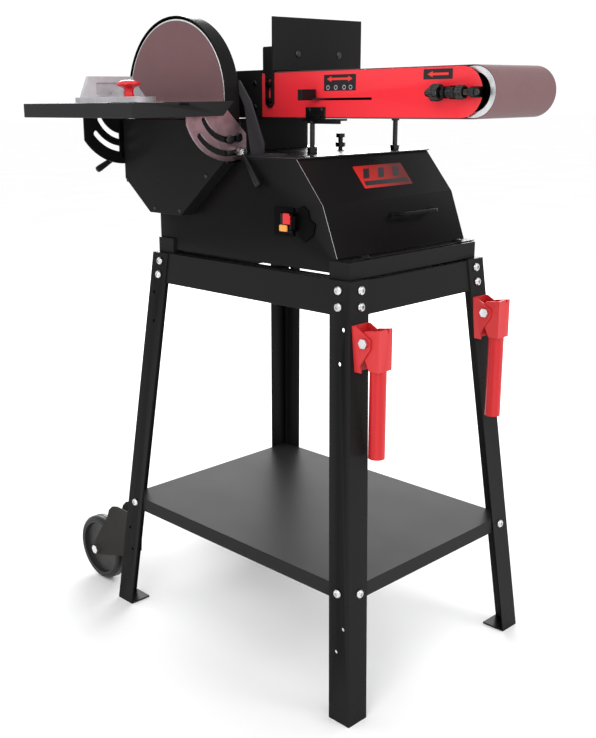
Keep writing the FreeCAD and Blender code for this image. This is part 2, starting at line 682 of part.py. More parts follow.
def pulley_cover():
    """Folded cover over the upper pulley, open underneath for the drive belt."""
    low_y, high_y = D.pulley_y - 14, D.pulley_y + 14
    half = D.pulley_radius + 4
    inside = half - D.sheet
    out = join(box(-half, low_y, TOP, half, high_y, D.shaft_z), rod("Y", 0, low_y, D.shaft_z, half, 28))
    hollow = join(box(-inside, low_y + 2, TOP - 1, inside, high_y - 2, D.shaft_z),
                  rod("Y", 0, low_y + 2, D.shaft_z, inside, 24))
    return cut(out, hollow, rod("Y", 0, low_y - 2, D.shaft_z, 15, 32))


node("pulley_cover", pulley_cover())

# ---------------------------------------------------------------- disc guard, shroud and chute

GUARD_WALL = dim(2)
guard_low = D.shroud_top + 0.3


def guard_band(radius, start):
    """Half-round prism over the disc with straight sides down to the shroud."""
    length = D.guard_rear - start
    return join(rod("Y", 0, start, D.shaft_z, radius, length),
                box(-radius, start, guard_low, radius, D.guard_rear, D.shaft_z))


guard_rim = cut(guard_band(D.guard_radius, D.guard_front),
                guard_band(D.guard_radius - GUARD_WALL, D.guard_front - 5),
                box(-150, D.guard_front - 5, D.shaft_z - 150, 150, D.guard_rear + 5, guard_low))
guard_back = join(
    rod("Y", 0, D.guard_rear - GUARD_WALL, D.shaft_z, D.guard_radius, GUARD_WALL),
    box(-D.guard_radius, D.guard_rear - GUARD_WALL, TOP, D.guard_radius, D.guard_rear, D.shaft_z))
node("disc_guard", cut(
    join(guard_rim, guard_back),
    rod("Y", 0, D.guard_rear - 5, D.shaft_z, 16, 10),
    box(-200, D.guard_rear - 5, D.shaft_z - 200, 200, D.guard_rear + 5, TOP)))

SHROUD_OUT = [
    (D.shroud_left, D.shroud_top), (D.shroud_left, 797), (-68, 742), (15, 742),
    (D.shroud_right, 836), (D.shroud_right, D.shroud_top),
]
SHROUD_IN = [
    (D.shroud_left + 2, D.shroud_top + 1), (D.shroud_left + 2, 798), (-67, 744), (14, 744),
    (D.shroud_right - 2, 837), (D.shroud_right - 2, D.shroud_top + 1),
]
SHROUD_DEPTH = D.cabinet_front - D.shroud_front
node("dust_shroud", cut(
    slab("XZ", D.shroud_front, SHROUD_DEPTH, SHROUD_OUT),
    slab("XZ", D.shroud_front + 2, SHROUD_DEPTH - 4, SHROUD_IN),
    rod("Y", 0, D.cabinet_front - 4, D.shaft_z, 27, 8)))

CHUTE_TOP = D.shaft_z - 42
chute = cut(join(box(-42, -16, TOP, 42, 150, CHUTE_TOP), box(-42, -16, TOP, 42, -14, D.shaft_z - 26)),
            box(-40, -14, TOP + 2, 40, 148, CHUTE_TOP + 1))
chute_lip = box(40, -14, CHUTE_TOP - 1, 42, 150, D.shaft_z - 37)
node("belt_chute", join(chute, chute_lip))

node("strut", join(
    slab("XZ", D.guard_rear + 0.2, dim(3), [
        (116, 951), (125, 957), (150, 925.5), (178, 862.6), (178, TOP), (150, TOP), (141, 889),
        (136, 918)]),
    box(150, D.guard_rear + 0.2, TOP, 204, D.guard_rear + 26, TOP + 3)))

# ---------------------------------------------------------------- rests for the belt arm

REST_TOP = D.shaft_z - 40.1
level_rest = join(
    rod("Z", D.rest_x, D.rest_y, TOP, D.post_radius, REST_TOP - TOP),
    rod("Z", D.rest_x, D.rest_y, TOP, D.post_radius * 2, 10),
    rod("Z", D.rest_x, D.rest_y, REST_TOP - 4, D.post_radius * 2, 4))
rear_rest = join(
    rod("Z", D.post_x, D.post_y, TOP, D.post_radius, D.shaft_z - D.arm_half - 0.1 - TOP),
    hexagon("Z", D.post_x, D.post_y, TOP, 8, 9),
    rod("Z", D.post_x, D.post_y, D.shaft_z - 43, 6.5, 4))
spare_bolt = join(
    rod("Z", D.spare_x, D.spare_y, TOP, D.post_radius, 26),
    hexagon("Z", D.spare_x, D.spare_y, TOP + 4, 9, 8),
    hexagon("Z", D.spare_x, D.spare_y, TOP + 20, 8, 7))
node("arm_rests", group(level_rest, rear_rest, spare_bolt))

# ---------------------------------------------------------------- belt arm

AXIS = D.shaft_z
FRONT_SKIN = D.arm_front + D.arm_skin
REAR_SKIN = D.arm_rear - D.arm_skin
WEB_FRONT, WEB_REAR = dim(2), dim(147)
BOSS_SPOTS = [(70, 16), (70, -16), (160, 16), (160, -18), (400, 18), (400, -18)]


def arm_frame():
    """Platen channel between the drums, with bosses that carry both covers."""
    top = AXIS + D.drum_radius - 0.2
    skin = box(D.platen_left, WEB_FRONT, top - 3, D.platen_right, WEB_REAR + 3, top)
    webs = [box(D.platen_left, y, AXIS - 26, D.platen_right, y + 3, top - 2)
            for y in (WEB_FRONT, WEB_REAR)]
    stiffener = box(D.platen_left + 40, WEB_FRONT + 1, AXIS - 26, D.platen_left + 100,
                    WEB_REAR + 1, AXIS - 23)
    pivot_bed = box(D.lever_x - 14, WEB_FRONT + 1, AXIS - 19, D.lever_x + 14, WEB_REAR + 1, AXIS - 14)
    bosses = []
    for x, z in BOSS_SPOTS:
        bosses.append(rod("Y", x, FRONT_SKIN, AXIS + z, 5, WEB_FRONT - FRONT_SKIN + 1))
        bosses.append(rod("Y", x, WEB_REAR + 2, AXIS + z, 5, REAR_SKIN - WEB_REAR - 2))
    window = box(D.slot_left - 4, WEB_FRONT - 1, AXIS - 12, D.slot_right + 4, WEB_FRONT + 4, AXIS - 2)
    solid = join(skin, *webs, stiffener, pivot_bed, *bosses)
    return cut(solid, window, rod("Z", D.lever_x, D.lever_y, AXIS - 20, 5 + D.run_gap, 8))


node("arm_frame", arm_frame())


def side_cover(start):
    """Side cover plate with a rounded idler end and a notch for the idler's adjuster."""
    plate = join(box(D.cover_left, start, AXIS - D.arm_half, D.cover_right, start + D.arm_skin,
                     AXIS + D.arm_half),
                 rod("Y", D.cover_right, start, AXIS, D.arm_half, D.arm_skin))
    notch = box(496, start - 1, AXIS - 7.2, 530, start + D.arm_skin + 1, AXIS + 7.2)
    return plate, notch


front_plate, front_notch = side_cover(D.arm_front)
lever_slot = box(D.slot_left, D.arm_front - 1, D.slot_z - 1.8, D.slot_right, FRONT_SKIN + 1,
                 D.slot_z + 1.8)
track_arm = join(box(463, D.track_y - 9, AXIS - 8, 466, D.arm_front + 0.5, AXIS + 8),
                 box(463, D.arm_front - 1.5, AXIS - 9, 478, D.arm_front + 0.2, AXIS + 9))
node("arm_cover_front", cut(join(front_plate, track_arm), front_notch, lever_slot,
                            rod("X", 460, D.track_y, AXIS, 4.1, 10)))
rear_plate, rear_notch = side_cover(REAR_SKIN)
node("arm_cover_rear", cut(rear_plate, rear_notch))


def drum_hood():
    """Black hood round the driven drum, which turns with the arm on the bearing collars."""
    right = D.cover_left - 0.2
    width = D.arm_rear - D.arm_front
    outer = rod("Y", 0, D.arm_front, AXIS, D.hood_radius, width)
    upper = box(0, D.arm_front, AXIS, right, D.arm_rear, AXIS + D.hood_radius)
    inner_width = REAR_SKIN - FRONT_SKIN
    inner = rod("Y", 0, FRONT_SKIN, AXIS, D.hood_radius - 1.5, inner_width)
    inner_box = box(0, FRONT_SKIN, AXIS - 45, right + 1, REAR_SKIN, AXIS + D.hood_radius - 1.5)
    lower_plates = [box(0, y, AXIS - D.arm_half, right, y + D.arm_skin, AXIS + 1)
                    for y in (D.arm_front, REAR_SKIN)]
    shell = cut(join(outer, upper, *lower_plates), inner, inner_box)
    bore = rod("Y", 0, D.arm_front - 2, AXIS, D.collar_radius + D.run_gap, width + 4)
    mouth = box(-60, FRONT_SKIN, AXIS - 45, 10, REAR_SKIN, AXIS - 24)
    return cut(shell, bore, mouth)


node("drum_hood", drum_hood())


def belt_loop(radius, start, width):
    """Solid stadium between the two drum axes."""
    return join(rod("Y", 0, start, AXIS, radius, width),
                rod("Y", D.idler_x, start, AXIS, radius, width),
                box(0, start, AXIS - radius, D.idler_x, start + width, AXIS + radius))


node("abrasive_belt", cut(
    belt_loop(D.drum_radius + D.run_gap + D.belt_thick, dim(0), D.belt_width),
    belt_loop(D.drum_radius + D.run_gap, dim(-1), D.belt_width + 2)))

FLANGE = REST_TOP + 0.1
node("arm_stop_bracket", join(
    box(189, D.arm_front - 2.6, FLANGE, 230, D.arm_front - 0.1, AXIS - 19),
    box(180, D.arm_front - 2.6, FLANGE, 262, D.rest_y + 2, FLANGE + 3),
    box(205, D.arm_front - 2.6, FLANGE - 4.5, 262, D.arm_front - 0.1, FLANGE + 1)))

STOP = D.stop_x
CLAMP_X = STOP - 9.5
CLAMP_ZS = (925.0, 950.6)
clamp_slot = join(
    box(CLAMP_X - 3.2, D.arm_front - 4, 920.8, CLAMP_X + 3.2, D.arm_front, 956.8),
    rod("Y", CLAMP_X, D.arm_front - 4, 920.8, 3.2, 4), rod("Y", CLAMP_X, D.arm_front - 4, 956.8, 3.2, 4))
node("work_stop_bracket", cut(join(
    slab("XZ", D.arm_front - 3.1, dim(3), [
        (STOP - 24, 1008), (STOP - 22, 1010), (STOP, 1010), (STOP, 921), (STOP - 6, 914),
        (STOP - 13, 914), (STOP - 19, 921), (STOP - 19, 968), (STOP - 24, 970)]),
    box(STOP - 3, D.arm_front - 3.1, 982, STOP, 190, 1010)), clamp_slot))
node("work_stop_plate", box(STOP + 0.1, D.stop_front, D.stop_low, STOP + 3.1, D.stop_rear, D.stop_top))
node("stop_clamp_bolts", group(*[
    join(rod("Y", CLAMP_X, D.arm_front - 6, z, 3, 5.9),
         hexagon("Y", CLAMP_X, D.arm_front - 7.2, z, 6, 4))
    for z in CLAMP_ZS]))

# ---------------------------------------------------------------- tension lever, idler, tracking


def tension_lever():
    """Flat lever on an upright pivot, with an upturned tab outside the slot."""
    angle = math.radians(DIMENSIONS["lever_angle"])
    reach_x, reach_y = math.sin(angle), math.cos(angle)
    half = 4.0
    length = (DIMENSIONS["lever_y"] + 13) / reach_y
    side_x, side_y = half * reach_y, half * reach_x
    x0, y0 = D.lever_x, D.lever_y
    arm = slab("XY", D.slot_z - 1.5, dim(3), [
        (x0 + side_x, y0 - side_y), (x0 - side_x, y0 + side_y),
        (x0 - length * reach_x - side_x, y0 - length * reach_y + side_y),
        (x0 - length * reach_x + side_x, y0 - length * reach_y - side_y)])
    hub = rod("Z", x0, y0, AXIS - 13.9, 13, 9)
    pivot = rod("Z", x0, y0, AXIS - 20, 5, 10)
    tip_x = x0 - length * reach_x
    tab = box(tip_x - 6, D.arm_front - 34, D.slot_z - 1.5, tip_x + 3, D.arm_front - 3,
              D.slot_z + 15)
    return join(arm, hub, pivot, tab)


node("tension_lever", tension_lever())

YOKE_X = D.idler_x - 48
YOKE_FRONT, YOKE_REAR = FRONT_SKIN + 0.2, REAR_SKIN - 0.2
node("idler_yoke", join(
    box(YOKE_X, YOKE_FRONT, AXIS - 11, YOKE_X + 7, YOKE_REAR, AXIS + 11),
    box(YOKE_X, YOKE_FRONT, AXIS - 11, D.idler_x + 14, dim(0.4), AXIS + 11),
    box(YOKE_X, D.belt_width + 0.1, AXIS - 11, D.idler_x + 14, YOKE_REAR, AXIS + 11),
    rod("Y", D.idler_x, -1, AXIS, 9, D.belt_width + 3),
    cut(box(506, D.track_y - 7, AXIS - 6, 514, 0, AXIS + 6),
        rod("X", 500, D.track_y, AXIS, 4.1, 20))))
RECESS = dim(12)
node("idler_drum", cut(rod("Y", D.idler_x, 1, AXIS, D.drum_radius, D.belt_width - 2),
                       rod("Y", D.idler_x, 0, AXIS, 9 + D.run_gap, D.belt_width),
                       rod("Y", D.idler_x, 0, AXIS, D.drum_radius - 9, RECESS + 1),
                       rod("Y", D.idler_x, D.belt_width - 1 - RECESS, AXIS, D.drum_radius - 9,
                           RECESS + 1)))
node("tracking_screw", join(
    rod("X", 430, D.track_y, AXIS, 4, 92),
    rod("X", 441, D.track_y, AXIS, D.knob_radius, 17),
    rod("X", 432, D.track_y, AXIS, 6, 10),
    rod("X", 484, D.track_y, AXIS, 10, 12)))
coils = [cut(rod("X", x, D.track_y, AXIS, 7.5, 1.6), rod("X", x - 1, D.track_y, AXIS, 4.3, 4))
         for x in (466.4, 469.8, 473.2, 476.6, 480)]
bars = [box(466.4, D.track_y + a, AXIS + b, 481.6, D.track_y + a + 1.4, AXIS + b + 1.4)
        for a, b in ((-6.2, -0.7), (4.8, -0.7))]
node("tracking_spring", join(*coils, *bars))

# ---------------------------------------------------------------- disc table

PIVOT_Y, PIVOT_Z = D.table_near, D.table_top


def table():
    """Cast table: skirt on three sides, the edge at the disc bevelled so that it can tilt."""
    skirt_low = D.table_top - D.table_skirt
    plate_low = D.table_top - D.table_plate
    wall = D.table_wall
    section = [
        (D.table_near, D.table_top), (D.table_near - D.table_plate, plate_low),
        (D.table_far + wall, plate_low), (D.table_far + wall, skirt_low),
        (D.table_far, skirt_low), (D.table_far, D.table_top),
    ]
    ends = [
        (D.table_near, D.table_top), (D.table_near - D.table_skirt, skirt_low),
        (D.table_far, skirt_low), (D.table_far, D.table_top),
    ]
    solid = join(slab("YZ", -D.table_half, D.table_half * 2, section),
                 slab("YZ", -D.table_half, wall, ends),
                 slab("YZ", D.table_half - wall, wall, ends))
    groove = box(-D.table_half - 1, D.mitre_y - D.slot_half, D.table_top - 5,
                 D.table_half + 1, D.mitre_y + D.slot_half, D.table_top + 1)
    return cut(solid, groove)


node("table", table())


def arc_slot(x, radius, first, last):
    """Curved slot round the table's tilt axis; angles run from straight down towards the operator."""
    half = D.track_half
    span = last - first
    ring = []
    for size in (radius + half, radius - half):
        disc = DOC.addObject("Part::Cylinder", "Sector")
        bind(disc, "Radius", size)
        disc.Height = 12
        disc.Angle = span
        spin = FreeCAD.Rotation(FreeCAD.Vector(0, 0, 1), 270 - last)
        turn = FreeCAD.Rotation(FreeCAD.Vector(1, 1, 1), 120) * spin
        ring.append(place(disc, x, PIVOT_Y, PIVOT_Z, turn))
    ends = []
    for angle in (first, last):
        radians = math.radians(angle)
        ends.append(rod("X", x, PIVOT_Y - radius * math.sin(radians),
                        PIVOT_Z - radius * math.cos(radians), half, 12))
    return join(cut(*ring), *ends)


def trunnion(x, reach, edge):
    """Slotted quadrant under one end of the table."""
    wall = D.trunnion_wall
    top = D.table_top - D.table_plate - 0.05
    quadrant = rod("X", x, PIVOT_Y, PIVOT_Z, reach, wall)
    window = slab("YZ", x - 2, wall + 4, [
        (edge, top), (edge, 700), (-84, 700), (-84, 876), (-127.65, top)])
    item = DOC.addObject("Part::Common", "Quadrant")
    item.Base = quadrant
    item.Tool = window
    return cut(item, arc_slot(x - 4, D.inner_track, -23, 62), arc_slot(x - 4, D.outer_track, -18, 50))


LEFT_EDGE, RIGHT_EDGE = -203.5, -204.5
node("trunnions", group(trunnion(D.left_trunnion, D.left_reach, LEFT_EDGE),
                        trunnion(D.right_trunnion, D.right_reach, RIGHT_EDGE)))


def on_track(radius, angle):
    """Point on a trunnion track, as (y, z)."""
    radians = math.radians(angle)
    return PIVOT_Y - radius * math.sin(radians), PIVOT_Z - radius * math.cos(radians)


PIN_ANGLES = (0, -17)
LOCK_ANGLE = -12.9


def table_bracket(x, out):
    """Fixed plate beside the shroud, with the guide pins and their washers."""
    wall = dim(2.5)
    low = x if out > 0 else x - wall
    lock_y, lock_z = on_track(D.outer_track, LOCK_ANGLE)
    near = -122 if out > 0 else -134
    plate = slab("YZ", low, wall, [(near, 893), (-92, 893), (-92, TOP + 0.3), (-98.5, TOP + 0.3),
                                   (-98.5, 832), (near, 832)],
                 [(lock_y, lock_z, D.track_pin + D.run_gap)])
    start = low + wall if out > 0 else low
    reach = D.trunnion_wall + 0.5 + D.gap
    pieces = [plate]
    for angle in PIN_ANGLES:
        y, z = on_track(D.inner_track, angle)
        first = start - 1 if out > 0 else start - reach - 5
        pieces.append(rod("X", first, y, z, D.track_pin, reach + 6))
        washer = start + reach if out > 0 else start - reach - 5
        pieces.append(hexagon("X", washer, y, z, 7, 5))
    return join(*pieces)


node("table_brackets", group(table_bracket(D.shroud_left, -1), table_bracket(D.shroud_right, 1)))


def lock_lever(side, start):
    """Clamp lever: stud through the outer track, a hub and an angled arm with a grip."""
    y, z = on_track(D.outer_track, LOCK_ANGLE)
    stud_start = start if side > 0 else start - 12
    hub_start = start + 8.2 if side > 0 else start - 8.2 - 14
    pieces = [rod("X", stud_start, y, z, D.track_pin, 12),
              rod("X", hub_start, y, z, 6.3, 14)]
    tip = FreeCAD.Vector(45, -6, -52) if side > 0 else FreeCAD.Vector(-16, -62, -38)
    turn = FreeCAD.Rotation(FreeCAD.Vector(0, 0, 1), tip)
    arm_x = hub_start + 7
    pieces.append(place(rod("Z", 0, 0, 0, 4, tip.Length - 14), arm_x, y, z, turn))
    grip = DOC.addObject("Part::Cone", "Grip")
    grip.Radius1 = 4.5
    grip.Radius2 = 7
    grip.Height = 34
    unit = tip.normalize()
    pieces.append(place(grip, arm_x + unit.x * 34, y + unit.y * 34, z + unit.z * 34, turn))
    return join(*pieces)


node("table_lock_left", lock_lever(-1, D.shroud_left - 0.1))
node("table_lock_right", lock_lever(1, D.shroud_right + 0.1))

# ---------------------------------------------------------------- mitre gauge

node("mitre_bar", box(-75, D.mitre_y - D.slot_half + 0.2, D.table_top - 4.8, 85,
                      D.mitre_y + D.slot_half - 0.2, D.table_top + 0.3))
MITRE_Z = D.table_top + 0.5


def mitre_head():
    """Cast head: half-round protractor, upright fence with a tapered outline, and a boss."""
    body = join(
        slab("XY", MITRE_Z, dim(8), [
            (-38, D.mitre_y - 68), (-24, D.mitre_y - 68), (6, D.mitre_y - 54), (26, D.mitre_y - 41),
            (40, D.mitre_y - 21), (44, D.mitre_y), (40, D.mitre_y + 21), (26, D.mitre_y + 41),
            (6, D.mitre_y + 54), (-24, D.mitre_y + 68), (-38, D.mitre_y + 68)]),
        slab("YZ", -38, dim(7), [
            (-277, MITRE_Z), (-277, MITRE_Z + 10), (-264, 966), (-181, 966), (-156, MITRE_Z + 10),
            (-156, MITRE_Z)]),
        rod("Z", D.mitre_x, D.mitre_y, MITRE_Z, 12, D.mitre_boss),
        box(-32, D.mitre_y - 4, MITRE_Z + 7, 1, D.mitre_y + 4, MITRE_Z + 16))
    pocket = box(-34, D.mitre_y - 32, MITRE_Z + 12, -30, D.mitre_y + 22, MITRE_Z + 30)
    return cut(body, pocket, rod("Z", D.mitre_x, D.mitre_y, MITRE_Z - 1, 4.05, 30))


node("mitre_head", mitre_head())
node("mitre_knob", turned(D.mitre_x, D.mitre_y, MITRE_Z + D.mitre_boss + 0.2, [
    (0, -D.mitre_boss), (4, -D.mitre_boss), (4, 0), (8, 0), (7, 11), (9, 14), (17, 16), (19, 19), (17, 23),
    (8, 25), (0, 25)], "Z"))

# ---------------------------------------------------------------- switch

SWITCH_FRONT = D.cabinet_front
HINGE_X, HINGE_Y = D.switch_x + 19, SWITCH_FRONT - 8.7
EAR_LOW, EAR_HIGH = D.switch_z - 13, D.switch_z + 11
BARREL = dim(2.2)


def switch_plate():
    """Bezel and housing of the switch, with two ears and a pin for its flap."""
    front, low, high = SWITCH_FRONT - 3, D.switch_z - 21, D.switch_z + 21
    bezel = box(D.switch_x - 26, front, low, D.switch_x + 15.5, SWITCH_FRONT - 0.1, high)
    housing = box(D.switch_x - 13.5, front + 1, D.switch_z - 18, D.switch_x + 13.5,
                  SWITCH_FRONT + 34, D.switch_z + 18)
    pocket = box(D.switch_x - 12, front - 1, D.switch_z - 16, D.switch_x + 12.9, SWITCH_FRONT + 18,
                 D.switch_z + 14)
    ears = [box(D.switch_x + 14, HINGE_Y - 2.2, z, D.switch_x + 21, SWITCH_FRONT - 0.1, z + 3)
            for z in (EAR_LOW, EAR_HIGH)]
    pin = rod("Z", HINGE_X, HINGE_Y, EAR_LOW + 1, 1.1, EAR_HIGH - EAR_LOW)
    return join(cut(join(bezel, housing), pocket), *ears, pin)


node("switch_plate", switch_plate())


def switch_flap():
    """Lobed cover flap, swung open against the cabinet; its barrel turns on the bezel's pin."""
    barrel_low = EAR_LOW + 3.3
    length = EAR_HIGH - EAR_LOW - 3.6
    barrel = rod("Z", HINGE_X, HINGE_Y, barrel_low, BARREL, length)
    web = box(HINGE_X, HINGE_Y - 1, barrel_low, HINGE_X + 6, SWITCH_FRONT - 0.4, barrel_low + length)
    x, z = HINGE_X, D.switch_z
    lobes = slab("XZ", SWITCH_FRONT - 2.4, dim(2), [
        (x + 2.6, z - 9), (x + 2.6, z + 10), (x + 5, z + 22), (x + 15, z + 26), (x + 26, z + 20),
        (x + 29, z + 7), (x + 41, z), (x + 37, z - 17), (x + 20, z - 28), (x + 6, z - 21)])
    return cut(join(barrel, web, lobes), rod("Z", HINGE_X, HINGE_Y, EAR_LOW, 1.1 + D.run_gap, 30))


node("switch_flap", switch_flap())
PADDLE_BASE = SWITCH_FRONT - 4
node("switch_paddle", join(
    box(D.switch_x - 11.5, PADDLE_BASE, D.switch_z - 15.5, D.switch_x + 12.4, SWITCH_FRONT + 6,
        D.switch_z + 13.5),
    box(D.switch_x - 3.5, PADDLE_BASE - 3, D.switch_z - 3.2, D.switch_x + 12, PADDLE_BASE + 1,
        D.switch_z + 13)))
node("switch_key", box(D.switch_x - 11, PADDLE_BASE - 4.3, D.switch_z - 15, D.switch_x + 6,
                       PADDLE_BASE - 0.2, D.switch_z - 4.5))

# ---------------------------------------------------------------- checks and export

DOC.recompute()
broken = [f"{item.Name} ({item.Label}): {item.State}" for item in DOC.Objects
          if "Invalid" in item.State or "Error" in item.State]
if broken:
    raise RuntimeError("failed objects: " + ", ".join(broken))
labels = [item.Label for item in NODES]
if len(labels) != len(set(labels)):
    raise RuntimeError("two nodes share a name")
for item in NODES:
    if item.Shape.isNull() or not item.Shape.isValid() or not item.Shape.Solids:
        raise RuntimeError(f"{item.Label} has no valid solid")

os.makedirs("parts", exist_ok=True)
for item in NODES:
    item.Shape.exportStep(f"parts/{item.Label}.step")
print(len(NODES), "nodes written")
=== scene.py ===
import math

import bmesh
import bpy
from mathutils import Matrix, Vector
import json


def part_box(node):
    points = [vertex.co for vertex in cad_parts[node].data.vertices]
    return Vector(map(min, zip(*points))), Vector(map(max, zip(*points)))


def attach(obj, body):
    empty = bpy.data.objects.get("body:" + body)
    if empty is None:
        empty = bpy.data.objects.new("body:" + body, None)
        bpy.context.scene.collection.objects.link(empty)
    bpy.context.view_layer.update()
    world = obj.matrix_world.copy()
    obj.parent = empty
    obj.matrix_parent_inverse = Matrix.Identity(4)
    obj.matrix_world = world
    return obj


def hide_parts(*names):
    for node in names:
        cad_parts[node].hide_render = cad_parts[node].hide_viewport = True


# Looks of the belt and disc sander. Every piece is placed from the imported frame's own boxes.

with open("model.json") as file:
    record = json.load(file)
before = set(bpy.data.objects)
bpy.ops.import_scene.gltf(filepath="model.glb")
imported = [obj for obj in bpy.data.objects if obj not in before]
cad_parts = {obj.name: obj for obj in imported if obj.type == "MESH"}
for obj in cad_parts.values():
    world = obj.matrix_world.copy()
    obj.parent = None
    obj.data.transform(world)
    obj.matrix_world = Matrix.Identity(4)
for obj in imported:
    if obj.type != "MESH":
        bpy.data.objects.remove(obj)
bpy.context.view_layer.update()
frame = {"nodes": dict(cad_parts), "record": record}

MM = 0.001
X, Y, Z = Vector((1, 0, 0)), Vector((0, 1, 0)), Vector((0, 0, 1))
SMOOTH_ANGLE = math.radians(32)
FLAT_ANGLE = math.radians(0.5)
WELD = 0.01 * MM
KNURL_DEPTH = 0.7
BODIES = frame["record"]["behaviour"]["bodies"]
BODY_OF = {node: body for body, nodes in BODIES.items() for node in nodes}
SLOT_OF = {part["node"]: part["material_slot"] for part in frame["record"]["subparts"]}


def middle(node):
    """Middle of a CAD node's box."""
    low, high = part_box(node)
    return (low + high) / 2


SHAFT = middle("drive_drum")
BELT_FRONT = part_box("abrasive_belt")[0].y


def at(x, y, z):
    """Point x mm from the shaft towards the idler, y mm behind the belt's front edge, z mm up."""
    return Vector((SHAFT.x + x * MM, BELT_FRONT + y * MM, z * MM))


# ---------------------------------------------------------------- materials


# sockets of a Mix node that works on colours
MIX_FACTOR, MIX_FIRST, MIX_SECOND, MIX_RESULT = 0, 6, 7, 2


class Shader:
    """A node material under construction."""

    def __init__(self, name, color, rough, metallic=0.0):
        self.material = bpy.data.materials.new(name)
        self.material.use_nodes = True
        self.tree = self.material.node_tree
        self.surface = self.tree.nodes["Principled BSDF"]
        self.place = self.node("ShaderNodeTexCoord").outputs["Object"]
        self.set("Base Color", (*color, 1))
        self.set("Roughness", rough)
        self.set("Metallic", metallic)

    def node(self, kind, links=(), **settings):
        """New node with its settings and inputs."""
        made = self.tree.nodes.new(kind)
        for name, value in settings.items():
            setattr(made, name, value)
        for socket, value in dict(links).items():
            self.link(made.inputs[socket], value)
        return made

    def link(self, socket, value):
        """Feed a socket from another node or from a plain value."""
        if isinstance(value, bpy.types.NodeSocket):
            self.tree.links.new(value, socket)
        else:
            socket.default_value = value

    def set(self, socket, value):
        """Feed an input of the surface."""
        self.link(self.surface.inputs[socket], value)
        return self

    def stretched(self, scale):
        """Object coordinates multiplied along each axis, for grain with a direction."""
        links = {"Vector": self.place, "Scale": scale}
        return self.node("ShaderNodeMapping", links).outputs["Vector"]

    def noise(self, scale, detail=2.0, place=None):
        """Soft noise with scale cells to the metre."""
        links = {"Vector": place or self.place, "Scale": scale, "Detail": detail}
        return self.node("ShaderNodeTexNoise", links).outputs["Fac"]

    def cells(self, scale, output="Distance"):
        """Voronoi cells, scale of them to the metre."""
        links = {"Vector": self.place, "Scale": scale}
        return self.node("ShaderNodeTexVoronoi", links).outputs[output]

    def ramp(self, factor, low, high, first=0.35, last=0.65):
        """Colour or value ramp between two stops."""
        made = self.node("ShaderNodeValToRGB", {"Fac": factor})
        for stop, place, value in zip(made.color_ramp.elements, (first, last), (low, high)):
            stop.position = place
            stop.color = (*value, 1) if isinstance(value, tuple) else (value, value, value, 1)
        return made.outputs["Color"]

    def mix(self, factor, first, second, blend="MIX"):
        """Colour between two others."""
        made = self.node("ShaderNodeMix", data_type="RGBA", blend_type=blend)
        for index, value in ((MIX_FACTOR, factor), (MIX_FIRST, first), (MIX_SECOND, second)):
            if isinstance(value, tuple):
                value = (*value, 1)
            self.link(made.inputs[index], value)
        return made.outputs[MIX_RESULT]

    def bump(self, height, strength, distance):
        """Relief of a height in metres, on top of any earlier relief."""
        links = {"Height": height, "Strength": strength, "Distance": distance}
        made = self.node("ShaderNodeBump", links)
        earlier = self.surface.inputs["Normal"].links
        if earlier:
            self.link(made.inputs["Normal"], earlier[0].from_socket)
        return self.set("Normal", made.outputs["Normal"])

    def edges_worn_and_highlit(self, color, edge_wear_and_highlight, amount):
        """Lighter paint along the outer edges: partly rubbed paint, partly a painted highlight
        where the edges catch the light.
        """
        edge = self.node("ShaderNodeNewGeometry").outputs["Pointiness"]
        rub_and_highlight = self.ramp(edge, 0.0, amount, 0.515, 0.57)
        return self.set("Base Color", self.mix(rub_and_highlight, color, edge_wear_and_highlight))


def powder_coat(name, color, edge_wear_and_highlight, gloss=(0.26, 0.36), peel=0.05, grain=650, shine=0.035):
    """Sprayed and baked paint with a fine orange peel and small changes of gloss."""
    coat = Shader(name, color, gloss[0])
    coat.set("Specular IOR Level", shine)
    coat.set("Roughness", coat.ramp(coat.noise(14, 4), gloss[0], gloss[1]))
    # lighter edges: rubbed paint and a painted edge highlight
    coat.edges_worn_and_highlit(color, edge_wear_and_highlight, 0.45)
    coat.bump(coat.noise(grain, 2), peel, 0.3 * MM)
    coat.bump(coat.noise(9, 2), 0.012, 1 * MM)
    return coat.material


def metal(name, color, rough, grain, strength, stretch=(1, 1, 1)):
    """Bare or plated metal with a directional grain and stains of different gloss."""
    made = Shader(name, color, rough, 1.0)
    grained = made.noise(grain, 4, made.stretched(stretch))
    dark = tuple(0.72 * part for part in color)
    made.set("Base Color", made.ramp(made.noise(60, 4), dark, color, 0.3, 0.6))
    made.set("Roughness", made.ramp(grained, rough * 0.75, min(1.0, rough * 1.3)))
    made.bump(grained, strength, 0.2 * MM)
    return made.material


def grit(name, dark, light):
    """Aluminium oxide grit in resin: fine grains of close colours over slow cloudy changes."""
    made = Shader(name, dark, 0.78)
    tone = made.node("ShaderNodeRGBToBW", {"Color": made.cells(2600, "Color")}).outputs["Val"]
    cloudy = made.ramp(made.noise(14, 5), (0.95, 0.95, 0.95), (1.05, 1.05, 1.05))
    speckled = made.ramp(tone, dark, light, 0.1, 0.9)
    made.set("Base Color", made.mix(1.0, speckled, cloudy, "MULTIPLY"))
    made.set("Specular IOR Level", 0.3)
    made.set("Sheen Weight", 0.12)
    made.bump(made.cells(2600), 0.25, 0.12 * MM)
    return made.material


def cast(name, color):
    """Sand-blasted casting: dull, evenly grey, with a fine pebbled skin."""
    made = Shader(name, color, 0.5, 0.35)
    dark = tuple(0.86 * part for part in color)
    made.set("Base Color", made.ramp(made.noise(45, 5), dark, color, 0.3, 0.65))
    made.set("Roughness", made.ramp(made.noise(120, 3), 0.44, 0.58))
    made.bump(made.noise(850, 3), 0.18, 0.25 * MM)
    made.bump(made.noise(60, 3), 0.08, 0.8 * MM)
    return made.material


